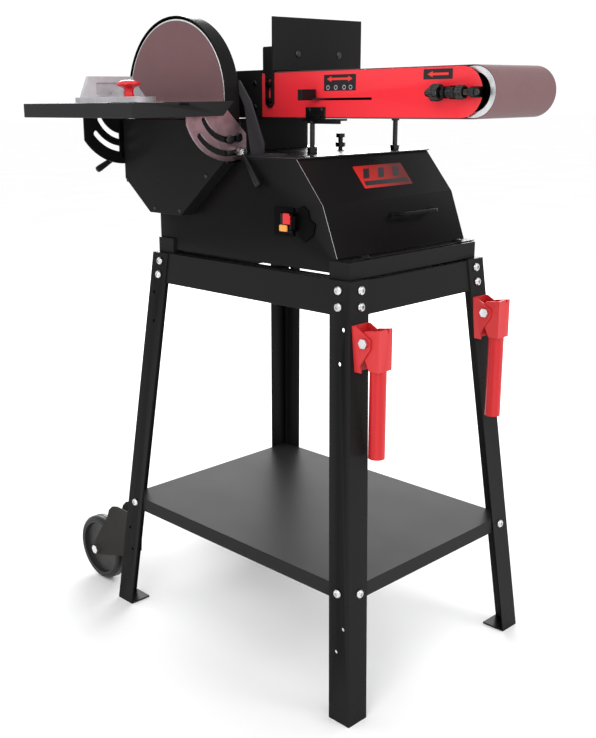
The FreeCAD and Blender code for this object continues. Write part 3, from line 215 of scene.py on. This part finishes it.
def moulded(name, color, rough, grain=900, strength=0.08, shine=0.3):
    """Moulded plastic or rubber with a fine spark-eroded texture."""
    made = Shader(name, color, rough)
    made.set("Specular IOR Level", shine)
    made.set("Roughness", made.ramp(made.noise(30, 4), rough * 0.85, min(1.0, rough * 1.15)))
    dark = tuple(0.88 * part for part in color)
    made.set("Base Color", made.ramp(made.noise(25, 3), dark, color))
    made.bump(made.noise(grain, 3), strength, 0.25 * MM)
    return made.material


def badge_print():
    """Sticker that fades from bright red to maroon along its length."""
    bright, maroon = (0.78, 0.03, 0.025), (0.16, 0.012, 0.01)
    made = Shader("badge_print", bright, 0.3)
    along = made.node("ShaderNodeSeparateXYZ", {"Vector": made.place}).outputs["Y"]
    low, high = at(0, -20, 0).y, at(0, 126, 0).y
    share = made.node("ShaderNodeMapRange", {"Value": along, "From Min": low, "From Max": high})
    made.set("Base Color", made.ramp(share.outputs["Result"], bright, maroon, 0.1, 0.9))
    made.set("Specular IOR Level", 0.12)
    made.bump(made.noise(500, 2), 0.03, 0.2 * MM)
    return made.material


BLACK = (0.0034, 0.0026, 0.0026)
# BLACK_EDGE: lighter tone for black edges, rubbed paint and a painted edge highlight
BLACK_EDGE = (0.03, 0.03, 0.031)
RED = (0.8, 0.012, 0.026)
LOOKS = {
    "black_paint": powder_coat("black_paint", BLACK, BLACK_EDGE),
    # shelf_paint and bracket_paint are lighter blacks: painted light for the floor bounce on the
    # lower stand
    "shelf_paint": powder_coat("shelf_paint", (0.0085, 0.0085, 0.01), (0.04, 0.04, 0.04),
                               (0.4, 0.42), shine=0.03),
    "top_paint": powder_coat("top_paint", BLACK, BLACK_EDGE, (0.22, 0.3), 0.03, shine=0.3),
    "bracket_paint": powder_coat("bracket_paint", (0.017, 0.0155, 0.013), (0.05, 0.05, 0.05),
                                 (0.4, 0.5)),
    "handle_paint": powder_coat("handle_paint", (0.52, 0.014, 0.018), (0.7, 0.06, 0.06),
                                (0.3, 0.4), 0.03, shine=0.25),
    "red_paint": powder_coat("red_paint", RED, (0.88, 0.08, 0.09), (0.3, 0.4), 0.03, shine=0.3),
    "table_paint": powder_coat("table_paint", (0.0075, 0.0075, 0.0082), (0.045, 0.045, 0.047),
                               (0.4, 0.52), 0.16, 330, 0.035),
    "strut_paint": powder_coat("strut_paint", (0.024, 0.02, 0.025), (0.07, 0.07, 0.07),
                               (0.34, 0.44)),
    "motor_paint": powder_coat("motor_paint", (0.03, 0.03, 0.032), (0.08, 0.08, 0.08), (0.35, 0.5),
                               0.15, 400),
    "zinc": metal("zinc", (0.72, 0.72, 0.73), 0.24, 900, 0.05),
    "trunnion_zinc": metal("trunnion_zinc", (0.3, 0.215, 0.235), 0.4, 500, 0.05, (1, 1, 6)),
    "dark_steel": metal("dark_steel", (0.045, 0.047, 0.047), 0.32, 700, 0.06),
    "cast_aluminium": cast("cast_aluminium", (0.54, 0.53, 0.56)),
    "turned_aluminium": metal("turned_aluminium", (0.74, 0.76, 0.77), 0.3, 300, 0.06, (1, 30, 1)),
    "abrasive": grit("abrasive", (0.125, 0.06, 0.065), (0.195, 0.098, 0.105)),
    "drive_rubber": moulded("drive_rubber", (0.012, 0.012, 0.012), 0.7, 500, 0.2),
    "wheel_rubber": moulded("wheel_rubber", (0.012, 0.0115, 0.011), 0.4, 600, 0.1, 0.3),
    "red_plastic": moulded("red_plastic", (0.74, 0.01, 0.018), 0.22, 900, 0.03, 0.5),
    "amber_plastic": moulded("amber_plastic", (0.9, 0.36, 0.07), 0.35),
    "black_plastic": moulded("black_plastic", (0.0065, 0.0065, 0.007), 0.42, shine=0.22),
    "knob_plastic": moulded("knob_plastic", (0.004, 0.005, 0.0048), 0.12, 400, 0.02, 0.5),
    "flap_plastic": moulded("flap_plastic", (0.0012, 0.0012, 0.0012), 0.5, shine=0.04),
    "label_black": moulded("label_black", (0.012, 0.01, 0.014), 0.4, 400, 0.03),
    "label_red": moulded("label_red", (0.85, 0.04, 0.03), 0.4, 400, 0.03),
    "label_grey": moulded("label_grey", (0.5, 0.5, 0.52), 0.45, 400, 0.03),
    "badge_print": badge_print(),
}

# ---------------------------------------------------------------- mesh tools


def piece(name, work, look, body, bevel=0.0, stands_for=(), smooth=SMOOTH_ANGLE):
    """Turn a bmesh into a finished object that rides on a body."""
    mesh = bpy.data.meshes.new(name)
    bmesh.ops.recalc_face_normals(work, faces=work.faces)
    work.to_mesh(mesh)
    work.free()
    item = bpy.data.objects.new(name, mesh)
    bpy.context.scene.collection.objects.link(item)
    mesh.materials.append(LOOKS[look])
    mesh.shade_smooth()
    mesh.set_sharp_from_angle(angle=smooth)
    if bevel:
        edge = item.modifiers.new("soft_edges", "BEVEL")
        edge.width = bevel * MM
        edge.segments = 2
        edge.limit_method = "ANGLE"
        edge.angle_limit = smooth
        edge.harden_normals = True
    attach(item, body)
    if stands_for:
        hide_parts(*stands_for)
    return item


def cad_shape(node):
    """A CAD node's shape as a bmesh, with its flat areas merged into whole faces."""
    work = bmesh.new()
    work.from_mesh(frame["nodes"][node].data)
    bmesh.ops.remove_doubles(work, verts=work.verts, dist=WELD)
    bmesh.ops.dissolve_limit(work, angle_limit=FLAT_ANGLE, verts=work.verts, edges=work.edges)
    return work


def dressed(node, look=None, bevel=0.6, smooth=SMOOTH_ANGLE):
    """The CAD node's own shape with rounded edges and its finish."""
    look = look or SLOT_OF[node]
    return piece(f"{node}_made", cad_shape(node), look, BODY_OF[node], bevel, (node,), smooth)


def recolour(item, look, wanted):
    """Second finish on the faces whose middle passes a test."""
    item.data.materials.append(LOOKS[look])
    for face in item.data.polygons:
        face.material_index = int(wanted(face.center))


def axes_for(axis):
    """Two directions square to an axis."""
    side = Z if abs(axis.z) < 0.9 else X
    first = axis.cross(side).normalized()
    return first, axis.cross(first).normalized()


def rings(work, origin, axis, loops, steps=28, closed=False, teeth=0):
    """Skin over rings along an axis.

    loops lists (radius, along, sides) in mm, where sides 0 is round. A closed skin joins its last
    ring to its first. teeth is the number of knurls round each ring.
    """
    first, second = axes_for(axis)
    made = []
    for radius, along, sides in loops:
        ring = []
        for i in range(steps):
            angle = math.tau * i / steps
            reach = radius
            if sides:
                part = math.tau / sides
                reach = radius * math.cos(part / 2) / math.cos(angle % part - part / 2)
            if teeth:
                reach -= KNURL_DEPTH * (1 + math.cos(teeth * angle)) / 2
            offset = first * math.cos(angle) + second * math.sin(angle)
            ring.append(work.verts.new(origin + (axis * along + offset * reach) * MM))
        made.append(ring)
    pairs = list(zip(made, made[1:]))
    if closed:
        pairs.append((made[-1], made[0]))
    else:
        work.faces.new(made[0])
        work.faces.new(made[-1])
    for low, high in pairs:
        for i in range(steps):
            j = (i + 1) % steps
            work.faces.new((low[i], low[j], high[j], high[i]))


def round_profile(points):
    """Loops for rings() from (radius, along) pairs."""
    return [(radius, along, 0) for radius, along in points]


def prism(work, outline, origin, across, up, thick):
    """Plate of an outline in mm along across and up, thick mm along their normal."""
    normal = across.cross(up).normalized()
    low = [work.verts.new(origin + (across * a + up * b) * MM) for a, b in outline]
    high = [work.verts.new(v.co + normal * thick * MM) for v in low]
    work.faces.new(low)
    work.faces.new(high)
    for i in range(len(low)):
        j = (i + 1) % len(low)
        work.faces.new((low[i], low[j], high[j], high[i]))


def rounded(width, height, radius, steps=6):
    """Outline of a rounded rectangle about its middle."""
    points = []
    corners = ((1, 1, 0), (-1, 1, 90), (-1, -1, 180), (1, -1, 270))
    for side_x, side_y, start in corners:
        for i in range(steps + 1):
            angle = math.radians(start + 90 * i / steps)
            points.append((side_x * (width / 2 - radius) + radius * math.cos(angle),
                           side_y * (height / 2 - radius) + radius * math.sin(angle)))
    return points


def tube(work, points, radii, steps=20):
    """Round bar through points in metres; radii in mm, one for each point."""
    made = []
    side = None
    for i, point in enumerate(points):
        ahead = points[min(i + 1, len(points) - 1)] - points[max(i - 1, 0)]
        ahead.normalize()
        if side is None:
            side = axes_for(ahead)[0]
        else:
            side = (side - ahead * side.dot(ahead)).normalized()
        other = ahead.cross(side)
        made.append([
            work.verts.new(point + (side * math.cos(math.tau * k / steps)
                                    + other * math.sin(math.tau * k / steps)) * radii[i] * MM)
            for k in range(steps)])
    work.faces.new(made[0])
    work.faces.new(made[-1])
    for low, high in zip(made, made[1:]):
        for k in range(steps):
            n = (k + 1) % steps
            work.faces.new((low[k], low[n], high[n], high[k]))


def bent(corners, radius, steps=6):
    """Points along straight runs with each corner rounded to a radius in mm."""
    points = [corners[0]]
    for before, corner, after in zip(corners, corners[1:], corners[2:]):
        back, ahead = (before - corner).normalized(), (after - corner).normalized()
        start, end = corner + back * radius * MM, corner + ahead * radius * MM
        for i in range(steps + 1):
            share = i / steps
            points.append(start.lerp(corner, share).lerp(corner.lerp(end, share), share))
    points.append(corners[-1])
    return points


def loose_parts(work):
    """The separate solids of a bmesh, each a list of vertices."""
    seen = set()
    parts = []
    for start in work.verts:
        if start in seen:
            continue
        seen.add(start)
        part, waiting = [], [start]
        while waiting:
            vert = waiting.pop()
            part.append(vert)
            for edge in vert.link_edges:
                other = edge.other_vert(vert)
                if other not in seen:
                    seen.add(other)
                    waiting.append(other)
        parts.append(part)
    return parts


def dome_bolt(work, foot, axis, radius, height):
    """Button-head bolt with a washer rim and a hexagon socket."""
    rings(work, foot, axis, [
        (radius, 0, 0), (radius, height * 0.18, 0), (radius * 0.94, height * 0.5, 0),
        (radius * 0.78, height * 0.84, 0), (radius * 0.55, height, 0), (radius * 0.46, height, 6),
        (radius * 0.4, height * 0.45, 6)], 24)


def hex_bolt(work, foot, axis, radius, height):
    """Hexagon head on a washer, with a turned chamfer on top."""
    rings(work, foot, axis, [
        (radius * 1.12, 0, 0), (radius * 1.12, height * 0.18, 0), (radius, height * 0.19, 6),
        (radius, height * 0.86, 6), (radius * 0.84, height, 0)], 24)


def slot_screw(work, foot, axis, radius, height, across):
    """Round screw head whose slot runs along across."""
    rings(work, foot, axis, [
        (radius, 0, 0), (radius, height * 0.45, 0), (radius * 0.8, height * 0.85, 0),
        (radius * 0.4, height, 0)], 20)
    side = axis.cross(across)
    reach, half = radius * 0.8, 0.5
    outline = [(-reach, -half), (reach, -half), (reach, half), (-reach, half)]
    prism(work, outline, foot + axis * height * 0.8 * MM, across, side, height * 0.28)


# ---------------------------------------------------------------- camera, light and stage


CAMERA_PLACE = at(1332.9, -1200.4, 929.9)
CAMERA_TURN, CAMERA_PITCH, CAMERA_ROLL = 47.3, -14.98, -0.77
CAMERA_LENS, CAMERA_SENSOR, CAMERA_SHIFT = 49.37, 36.0, 0.072
# name, place, target and size in metres, power in watts
SOFTBOXES = (
    ("key", (1.2, -2.9, 2.9), (0.0, 0.0, 0.7), (1.6, 1.6), 34),
    ("side", (3.0, 0.9, 2.2), (0.1, 0.0, 0.75), (1.2, 1.8), 22),
    ("back", (-2.5, 3.1, 2.0), (0.1, 0.0, 0.85), (3.6, 1.5), 150),
)
SKY_STRENGTH = 1.04
FLOOR_HALF = 60


def add_camera():
    """Camera level with the shaft, looking down past the open corner of the stand."""
    turn, pitch, roll = (math.radians(a) for a in (CAMERA_TURN, CAMERA_PITCH, CAMERA_ROLL))
    ahead = Vector((-math.sin(turn) * math.cos(pitch), math.cos(turn) * math.cos(pitch),
                    math.sin(pitch)))
    right = Vector((math.cos(turn), math.sin(turn), 0))
    up = right.cross(ahead)
    leaned_right = math.cos(roll) * right + math.sin(roll) * up
    leaned_up = math.cos(roll) * up - math.sin(roll) * right
    data = bpy.data.cameras.new("camera")
    data.sensor_width = CAMERA_SENSOR
    data.lens = CAMERA_LENS
    data.shift_x = CAMERA_SHIFT
    data.clip_start, data.clip_end = 0.05, 50
    item = bpy.data.objects.new("camera", data)
    bpy.context.scene.collection.objects.link(item)
    rows = Matrix((leaned_right, leaned_up, -ahead)).transposed()
    item.matrix_world = Matrix.Translation(CAMERA_PLACE) @ rows.to_4x4()
    bpy.context.scene.camera = item


def add_light(name, place, target, size, power):
    """Softbox that faces its target."""
    data = bpy.data.lights.new(name, "AREA")
    data.shape = "RECTANGLE"
    data.size, data.size_y = size
    data.energy = power
    item = bpy.data.objects.new(name, data)
    item.location = place
    item.rotation_mode = "QUATERNION"
    item.rotation_quaternion = (Vector(target) - Vector(place)).to_track_quat("-Z", "Y")
    bpy.context.scene.collection.objects.link(item)


def add_stage():
    """Pale floor, white surroundings and three softboxes."""
    work = bmesh.new()
    bmesh.ops.create_grid(work, x_segments=8, y_segments=8, size=FLOOR_HALF)
    mesh = bpy.data.meshes.new("floor")
    work.to_mesh(mesh)
    work.free()
    floor = bpy.data.objects.new("floor", mesh)
    bpy.context.scene.collection.objects.link(floor)
    paper = Shader("floor_paper", (0.95, 0.95, 0.95), 0.9)
    paper.set("Base Color", paper.ramp(paper.noise(2, 2), (0.94, 0.94, 0.94), (0.96, 0.96, 0.96)))
    mesh.materials.append(paper.material)
    world = bpy.data.worlds.new("studio")
    world.use_nodes = True
    sky = world.node_tree.nodes["Background"]
    sky.inputs["Color"].default_value = (1, 1, 1, 1)
    sky.inputs["Strength"].default_value = SKY_STRENGTH
    bpy.context.scene.world = world
    for softbox in SOFTBOXES:
        add_light(*softbox)


add_camera()
add_stage()
bpy.context.scene.view_settings.view_transform = "Standard"

# ---------------------------------------------------------------- CAD shapes with softened edges

# width in mm of the rounding along a node's edges
EDGES = {
    "legs": 0.8, "top_rails": 0.8, "shelf": 1.2,
    "base_channels": 0.9, "cabinet_front": 0.7, "cabinet_rear": 0.7, "cabinet_side": 0.7,
    "dust_port": 0.6, "cord_gland": 0.5, "motor": 2.0, "drive_belt": 1.0, "bearing_blocks": 1.2,
    "pulley_cover": 0.8, "disc_guard": 0.7, "dust_shroud": 0.9, "belt_chute": 0.8,
    "arm_rests": 0.5, "table_brackets": 0.5, "drive_shaft": 0.8, "disc_plate": 0.5,
    "abrasive_disc": 0.2,
    "drive_drum": 0.8, "shaft_pulley": 0.4, "motor_pulley": 0.4, "arm_frame": 0.5,
    "arm_cover_rear": 0.5, "drum_hood": 0.6, "abrasive_belt": 0.3, "arm_stop_bracket": 0.6,
    "stop_clamp_bolts": 0.4, "work_stop_bracket": 0.7, "work_stop_plate": 0.8,
    "idler_yoke": 0.6, "table": 1.0, "mitre_bar": 0.4,
    "mitre_head": 1.0, "switch_key": 3.8,
}
FOLD_ANGLE = math.radians(12)
for name, width in EDGES.items():
    dressed(name, None, width)
# the end cover's folds are shallow, so they count as edges from a smaller angle
dressed("cabinet_end_cover", None, 0.9, FOLD_ANGLE)
dressed("cabinet_top", "top_paint", 0.7)
dressed("strut", "strut_paint", 0.5)
dressed("switch_flap", "flap_plastic", 0.6)
# bracket_paint is a lighter black as painted floor-bounce light
dressed("wheel_brackets", "bracket_paint", 0.5)
dressed("switch_plate", "flap_plastic", 0.8)
dressed("tension_lever", "black_plastic", 1.6)
for name in ("handle_brackets", "lift_handle_front", "lift_handle_rear"):
    dressed(name, "handle_paint", 0.8)


def arm_cover_front():
    """Red side cover; the lug in front of it that carries the tracking screw is black."""
    play = 0.3
    cover = dressed("arm_cover_front", None, 0.5)
    plate_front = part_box("drum_hood")[0].y - play * MM
    recolour(cover, "black_paint", lambda spot: spot.y < plate_front)


def switch_paddle():
    """Black rocker with a raised red block."""
    block_thick = 2.9
    paddle = dressed("switch_paddle", "black_plastic", 1.0)
    block_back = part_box("switch_paddle")[0].y + block_thick * MM
    recolour(paddle, "red_plastic", lambda spot: spot.y < block_back)


def trunnions():
    """Slotted quadrants: the one at the wheel end is painted, the other is plated."""
    body = BODY_OF["trunnions"]
    plated = cad_shape("trunnions")
    wheel_end = [v for part in loose_parts(plated) if part[0].co.x < SHAFT.x for v in part]
    painted = plated.copy()
    chosen = {v.index for v in wheel_end}
    far_end = [v for v in painted.verts if v.index not in chosen]
    bmesh.ops.delete(painted, geom=far_end, context="VERTS")
    bmesh.ops.delete(plated, geom=wheel_end, context="VERTS")
    piece("trunnion_painted", painted, "black_paint", body, 0.4, ("trunnions",))
    piece("trunnion_plated", plated, "trunnion_zinc", body, 0.4, ("trunnions",))


def idler_drum():
    """Turned drum whose end recesses get a near-black finish as painted shade."""
    drum = dressed("idler_drum", None, 0.8)
    low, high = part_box("idler_drum")
    centre = middle("idler_drum")
    rim, depth = 8.6, 1
    shade_radius = (high.z - low.z) / 2 - rim * MM
    end = (high.y - low.y) / 2 - depth * MM
    # painted shade: near-black finish inside the end recesses, where shade falls
    recolour(drum, "flap_plastic",
             lambda spot: math.hypot(spot.x - centre.x, spot.z - centre.z) < shade_radius
             and abs(spot.y - centre.y) < end)


def wheel(node):
    """Tyre with a tread groove, a stepped sidewall, a dished web with ribs and a long hub."""
    low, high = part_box(node)
    centre = middle(node)
    radius = (high.z - low.z) / 2 / MM
    hub = (high.y - low.y) / 2 / MM
    bore, web_start, web_end = 5.05, 13, radius - 15
    ribs, rib_half, rib_foot, rib_height = 6, 1.5, 3, 3.2
    side = [(bore, -hub), (12.6, -hub), (14, -hub + 1.2), (14, -6.2), (15.5, -5),
            (radius - 19, -4.4), (radius - 15, -5.4), (radius - 13.4, -9),
            (radius - 12.6, -12.6), (radius - 11.4, -13.5), (radius - 9, -13.5),
            (radius - 8.2, -12.7), (radius - 7.4, -12.7), (radius - 6.6, -13.5),
            (radius - 4.4, -13.3), (radius - 1.6, -11.4), (radius - 0.3, -8.6), (radius, -6),
            (radius, -1.2), (radius - 0.8, -0.7)]
    profile = side + [(size, -along) for size, along in reversed(side)]
    work = bmesh.new()
    rings(work, centre, Y, round_profile(profile), 72, True)
    for face_side in (-1, 1):
        for i in range(ribs):
            angle = math.tau * i / ribs
            ray = X * math.cos(angle) + Z * math.sin(angle)
            across = ray.cross(Y)
            foot = centre + Y * face_side * rib_foot * MM
            outline = [(web_start, -rib_half), (web_end, -rib_half), (web_end, rib_half),
                       (web_start, rib_half)]
            prism(work, outline, foot, ray, across * face_side, rib_height)
    piece(f"{node}_turned", work, "wheel_rubber", BODY_OF[node], 0, (node,))


arm_cover_front()
switch_paddle()
trunnions()
idler_drum()
wheel("wheel_front")
wheel("wheel_rear")

# ---------------------------------------------------------------- pieces made afresh


def tracking_screw():
    """Threaded rod with a big knurled knob, its nose and a small knurled nut."""
    low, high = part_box("tracking_screw")
    start = Vector((low.x, (low.y + high.y) / 2, (low.z + high.z) / 2))
    work = bmesh.new()
    pitch, turns, first = 1.6, 44, 18
    thread = []
    for i in range(turns):
        thread += [(3.95, first + pitch * i), (3.3, first + 0.8 + pitch * i)]
    rings(work, start, X, round_profile(thread), 20)
    nose = [(1.5, 0), (3.6, 0.8), (4, 2), (5.4, 2.6), (6, 4), (6, 11)]
    rings(work, start, X, round_profile(nose), 24)
    knob = [(8, 11), (11, 12), (12, 13.5), (12, 16), (11.2, 17), (11.2, 18.5), (12, 19.5),
            (12, 24.5), (11, 26.4), (7, 27)]
    rings(work, start, X, round_profile(knob), 96, teeth=24)
    nut = [(6, 54), (9, 54.4), (10, 55.6), (10, 59), (9.2, 60), (9.2, 61), (10, 62), (10, 64.6),
           (8.6, 66)]
    rings(work, start, X, round_profile(nut), 80, teeth=20)
    piece("tracking_screw_turned", work, "knob_plastic", BODY_OF["tracking_screw"], 0,
          ("tracking_screw",))


def tracking_spring():
    """Compression spring between the lug and the nut."""
    low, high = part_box("tracking_spring")
    centre = middle("tracking_spring")
    wire, turns, steps = 1.1, 5, 24
    reach = (high.z - low.z) / 2 - wire * MM
    travel = high.x - low.x - 2 * wire * MM
    points = []
    for i in range(turns * steps + 1):
        angle = math.tau * i / steps
        along = low.x + wire * MM + travel * i / (turns * steps)
        points.append(Vector((along, centre.y + reach * math.cos(angle),
                              centre.z + reach * math.sin(angle))))
    work = bmesh.new()
    tube(work, points, [wire] * len(points), 8)
    piece("tracking_spring_coil", work, "dark_steel", BODY_OF["tracking_spring"], 0,
          ("tracking_spring",))


def pull_handle():
    """Round wire bent into a flat bow."""
    bend = 9
    low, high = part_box("pull_handle")
    radius = (high.z - low.z) / 2 / MM
    z = (low.z + high.z) / 2
    out = high.x - radius * MM
    ends = (low.y + radius * MM, high.y - radius * MM)
    corners = [Vector((low.x, ends[0], z)), Vector((out, ends[0], z)), Vector((out, ends[1], z)),
               Vector((low.x, ends[1], z))]
    points = bent(corners, bend, 8)
    work = bmesh.new()
    tube(work, points, [radius] * len(points), 20)
    piece("pull_handle_wire", work, "black_paint", BODY_OF["pull_handle"], 0, ("pull_handle",))


def mitre_knob():
    """Mushroom knob on a waisted stem."""
    height = 25
    low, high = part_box("mitre_knob")
    foot = Vector(((low.x + high.x) / 2, (low.y + high.y) / 2, high.z - height * MM))
    profile = [(3.8, -8), (4, -7), (4, 0), (7.8, 0), (8, 1), (7.2, 6), (7.2, 10), (8.4, 12.6),
               (12, 14.6), (16.4, 16), (18.5, 17.6), (19, 19), (18.4, 20.8), (16, 22.8),
               (11, 24.4), (5, height)]
    work = bmesh.new()
    rings(work, foot, Z, round_profile(profile), 48)
    piece("mitre_knob_turned", work, "red_plastic", BODY_OF["mitre_knob"], 0, ("mitre_knob",))


def badge():
    """Plate with plain blocks and no lettering on the upper slope of the end cover."""
    slope = Vector((-54, 0, 65)).normalized()
    foot = at(285, 71, 808.5)
    body = BODY_OF["cabinet_end_cover"]
    plate, stripe, length, height = 0.6, 0.15, 118, 42
    work = bmesh.new()
    prism(work, rounded(length, height, 2, 3), foot, Y, slope, plate)
    piece("badge_plate", work, "badge_print", body, 0.2)
    work = bmesh.new()
    face = foot + Y.cross(slope) * plate * MM
    bar = [(-53, -16), (53, -16), (53, -8), (-53, -8)]
    prism(work, bar, face, Y, slope, stripe)
    for start in (-50, -14, 22):
        block = [(start, -3), (start + 14, -3), (start + 26, 15), (start + 12, 15)]
        prism(work, block, face, Y, slope, stripe)
    piece("badge_stripes", work, "label_black", body)


def seam_edge_highlight():
    """Bright zinc strip where the end cover meets the cabinet's front: partly the bare sheet edge,
    partly a painted highlight where that edge catches the light.
    """
    front_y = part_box("cabinet_front")[0].y
    width, lift, thick = 0.4, 0.2, 0.3
    # painted highlight along the seam, on top of the bare sheet edge
    corners = [at(341.5, 0, 700), at(312, 0, 776), at(258.5, 0, 840.5)]
    work = bmesh.new()
    for low, high in zip(corners, corners[1:]):
        along = (high - low).normalized()
        inward = Y.cross(along)
        length = (high - low).length / MM
        foot = Vector((low.x, front_y + lift * MM, low.z))
        outline = [(0, 0), (length, 0), (length, width), (0, width)]
        prism(work, outline, foot, along, -inward, thick)
    piece("seam_edge_highlight", work, "zinc", BODY_OF["cabinet_end_cover"])


def arrow(half, double):
    """Outline of an arrow about its middle."""
    head = [(-half, 0), (-half + 9, 4.2), (-half + 9, 1.7)]
    tail = [(half - 9, 1.7), (half - 9, 4.2), (half, 0)] if double else [(half, 1.7)]
    upper = head + tail
    return upper + [(a, -b) for a, b in reversed(upper) if b]


def label(name, centre, width, height, half, drop, double):
    """Black sticker with a red arrow on the front cover."""
    sticker, print_height = 0.12, 0.08
    body = BODY_OF["arm_cover_front"]
    work = bmesh.new()
    prism(work, rounded(width, height, 1, 3), centre, X, Z, sticker)
    piece(f"{name}_sticker", work, "label_black", body)
    face = centre + (Z * drop - Y * sticker) * MM
    work = bmesh.new()
    prism(work, arrow(half, double), face, X, Z, print_height)
    piece(f"{name}_arrow", work, "label_red", body)
    return face


def labels():
    """Belt direction and tension stickers, with plain rings in place of the printed symbols."""
    face = label("tension", at(258.5, -4.5, 951), 65, 24, 26, 5.5, True)
    label("direction", at(441.5, -4.5, 959), 50, 14, 18, 0, False)
    work = bmesh.new()
    below, print_height = 12.5, 0.08
    ring = [(3.4, 0), (3.4, print_height), (2.5, print_height), (2.5, 0)]
    for along in (-24, -8, 9, 22):
        foot = face + (X * along - Z * below) * MM
        rings(work, foot, -Y, round_profile(ring), 24, True)
    piece("tension_symbols", work, "label_grey", BODY_OF["arm_cover_front"])


def screws():
    """Small fasteners that the CAD leaves out, grouped by what they hold."""
    groups = {
        "hood_screws": ("drum_hood", -Y, 4.2, 2.4, [(71, -4.5, 953.6), (71, -4.5, 915.4)]),
        "arm_bracket_screws": ("arm_stop_bracket", -Y, 4.0, 2.2, [
            (197, -7.1, 911), (222.7, -7.1, 911)]),
        "stop_plate_screws": ("work_stop_plate", X, 5.5, 1.6, [
            (120.1, 46.6, 998.2), (120.1, 146.7, 998.2)]),
        "shroud_screws": ("dust_shroud", -Y, 3.6, 1.6, [
            (-128, -125, 794), (-54, -125, 750), (13, -125, 750), (82, -125, 810)]),
    }
    for name, (node, axis, radius, height, spots) in groups.items():
        work = bmesh.new()
        for spot in spots:
            slot_screw(work, at(*spot), axis, radius, height, Z)
        piece(name, work, "dark_steel", BODY_OF[node])
    work = bmesh.new()
    for y in (-56, 174):
        dome_bolt(work, at(358, y, 699), Z, 8, 4.5)
    piece("ledge_bolts", work, "black_paint", BODY_OF["cabinet_end_cover"])


def mitre_scale():
    """Bright arc on the protractor with a tick every ten degrees."""
    head_floor, thick, tick_height = 8, 0.3, 0.12
    outer_radius, inner_radius = 54.5, 43
    centre = at(-12, 0, 0)
    centre.y = middle("mitre_bar").y
    centre.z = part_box("mitre_head")[0].z + head_floor * MM
    sweep = [math.radians(angle) for angle in range(-64, 65, 8)]
    outer = [(outer_radius * math.cos(a), outer_radius * math.sin(a)) for a in sweep]
    inner = [(inner_radius * math.cos(a), inner_radius * math.sin(a)) for a in reversed(sweep)]
    work = bmesh.new()
    prism(work, outer + inner, centre, X, Y, thick)
    piece("mitre_scale", work, "turned_aluminium", BODY_OF["mitre_head"])
    work = bmesh.new()
    face = centre + Z * thick * MM
    for degrees in range(-60, 61, 10):
        angle = math.radians(degrees)
        ray = Vector((math.cos(angle), math.sin(angle), 0))
        tick = [(46, -0.4), (53, -0.4), (53, 0.4), (46, 0.4)]
        prism(work, tick, face, ray, Z.cross(ray), tick_height)
    piece("mitre_scale_ticks", work, "label_black", BODY_OF["mitre_head"])


def lock_lever(node, way, reach):
    """Clamp lever: plated hub and nut, tapered arm and a rounded grip.

    way is 1 or -1 along X, and reach goes from the hub to the grip's tip in mm.
    """
    low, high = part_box(node)
    body = BODY_OF[node]
    axis = X * way
    stud = at(0, -102, 848.7)
    stud.x = low.x if way > 0 else high.x
    hub = stud + axis * 8.4 * MM
    work = bmesh.new()
    rings(work, stud, axis, round_profile([(3.9, 0), (3.9, 8.6)]), 20)
    rings(work, hub, axis, round_profile([(6.2, 0), (6.2, 10), (5.4, 11)]), 28)
    hex_bolt(work, hub + axis * 10.5 * MM, axis, 5.4, 3.4)
    piece(f"{node}_hub", work, "zinc", body, 0, (node,))
    start = hub + axis * 6.8 * MM
    line = Vector(reach)
    stops = [(0.0, 4), (0.4, 3.4), (0.44, 4.2), (0.6, 4.6), (0.9, 5.8), (0.97, 5.2), (0.99, 2.8)]
    work = bmesh.new()
    tube(work, [start + line * MM * share for share, _ in stops], [size for _, size in stops], 24)
    piece(f"{node}_arm", work, "black_plastic", body, 0, (node,))


tracking_screw()
tracking_spring()
pull_handle()
mitre_knob()
badge()
seam_edge_highlight()
labels()
screws()
mitre_scale()
lock_lever("table_lock_left", -1, (-16, -62, -38))
lock_lever("table_lock_right", 1, (45, -6, -52))


def stand_bolts():
    """Domed bolts of the stand; the axles and handle pins keep their turned shape."""
    centre = middle("legs")
    source = cad_shape("stand_bolts")
    heads, pins = bmesh.new(), []
    longest_head = 25 * MM
    for part in loose_parts(source):
        low = Vector([min(v.co[k] for v in part) for k in range(3)])
        high = Vector([max(v.co[k] for v in part) for k in range(3)])
        size = high - low
        if max(size) > longest_head:
            pins.extend(part)
            continue
        along = min(range(3), key=lambda k: size[k])
        way = 1 if (low + high)[along] / 2 > centre[along] else -1
        axis = Vector([way if k == along else 0 for k in range(3)])
        foot = (low + high) / 2 - axis * size[along] / 2
        radius = max(size) / 2 / MM
        dome_bolt(heads, foot, axis, radius, size[along] / MM)
    kept = set(pins)
    old_heads = [v for v in source.verts if v not in kept]
    bmesh.ops.delete(source, geom=old_heads, context="VERTS")
    piece("stand_bolt_heads", heads, "zinc", "base", 0.0, ("stand_bolts",))
    piece("axle_and_handle_pins", source, "zinc", "base", 0.5, ("stand_bolts",))


stand_bolts()
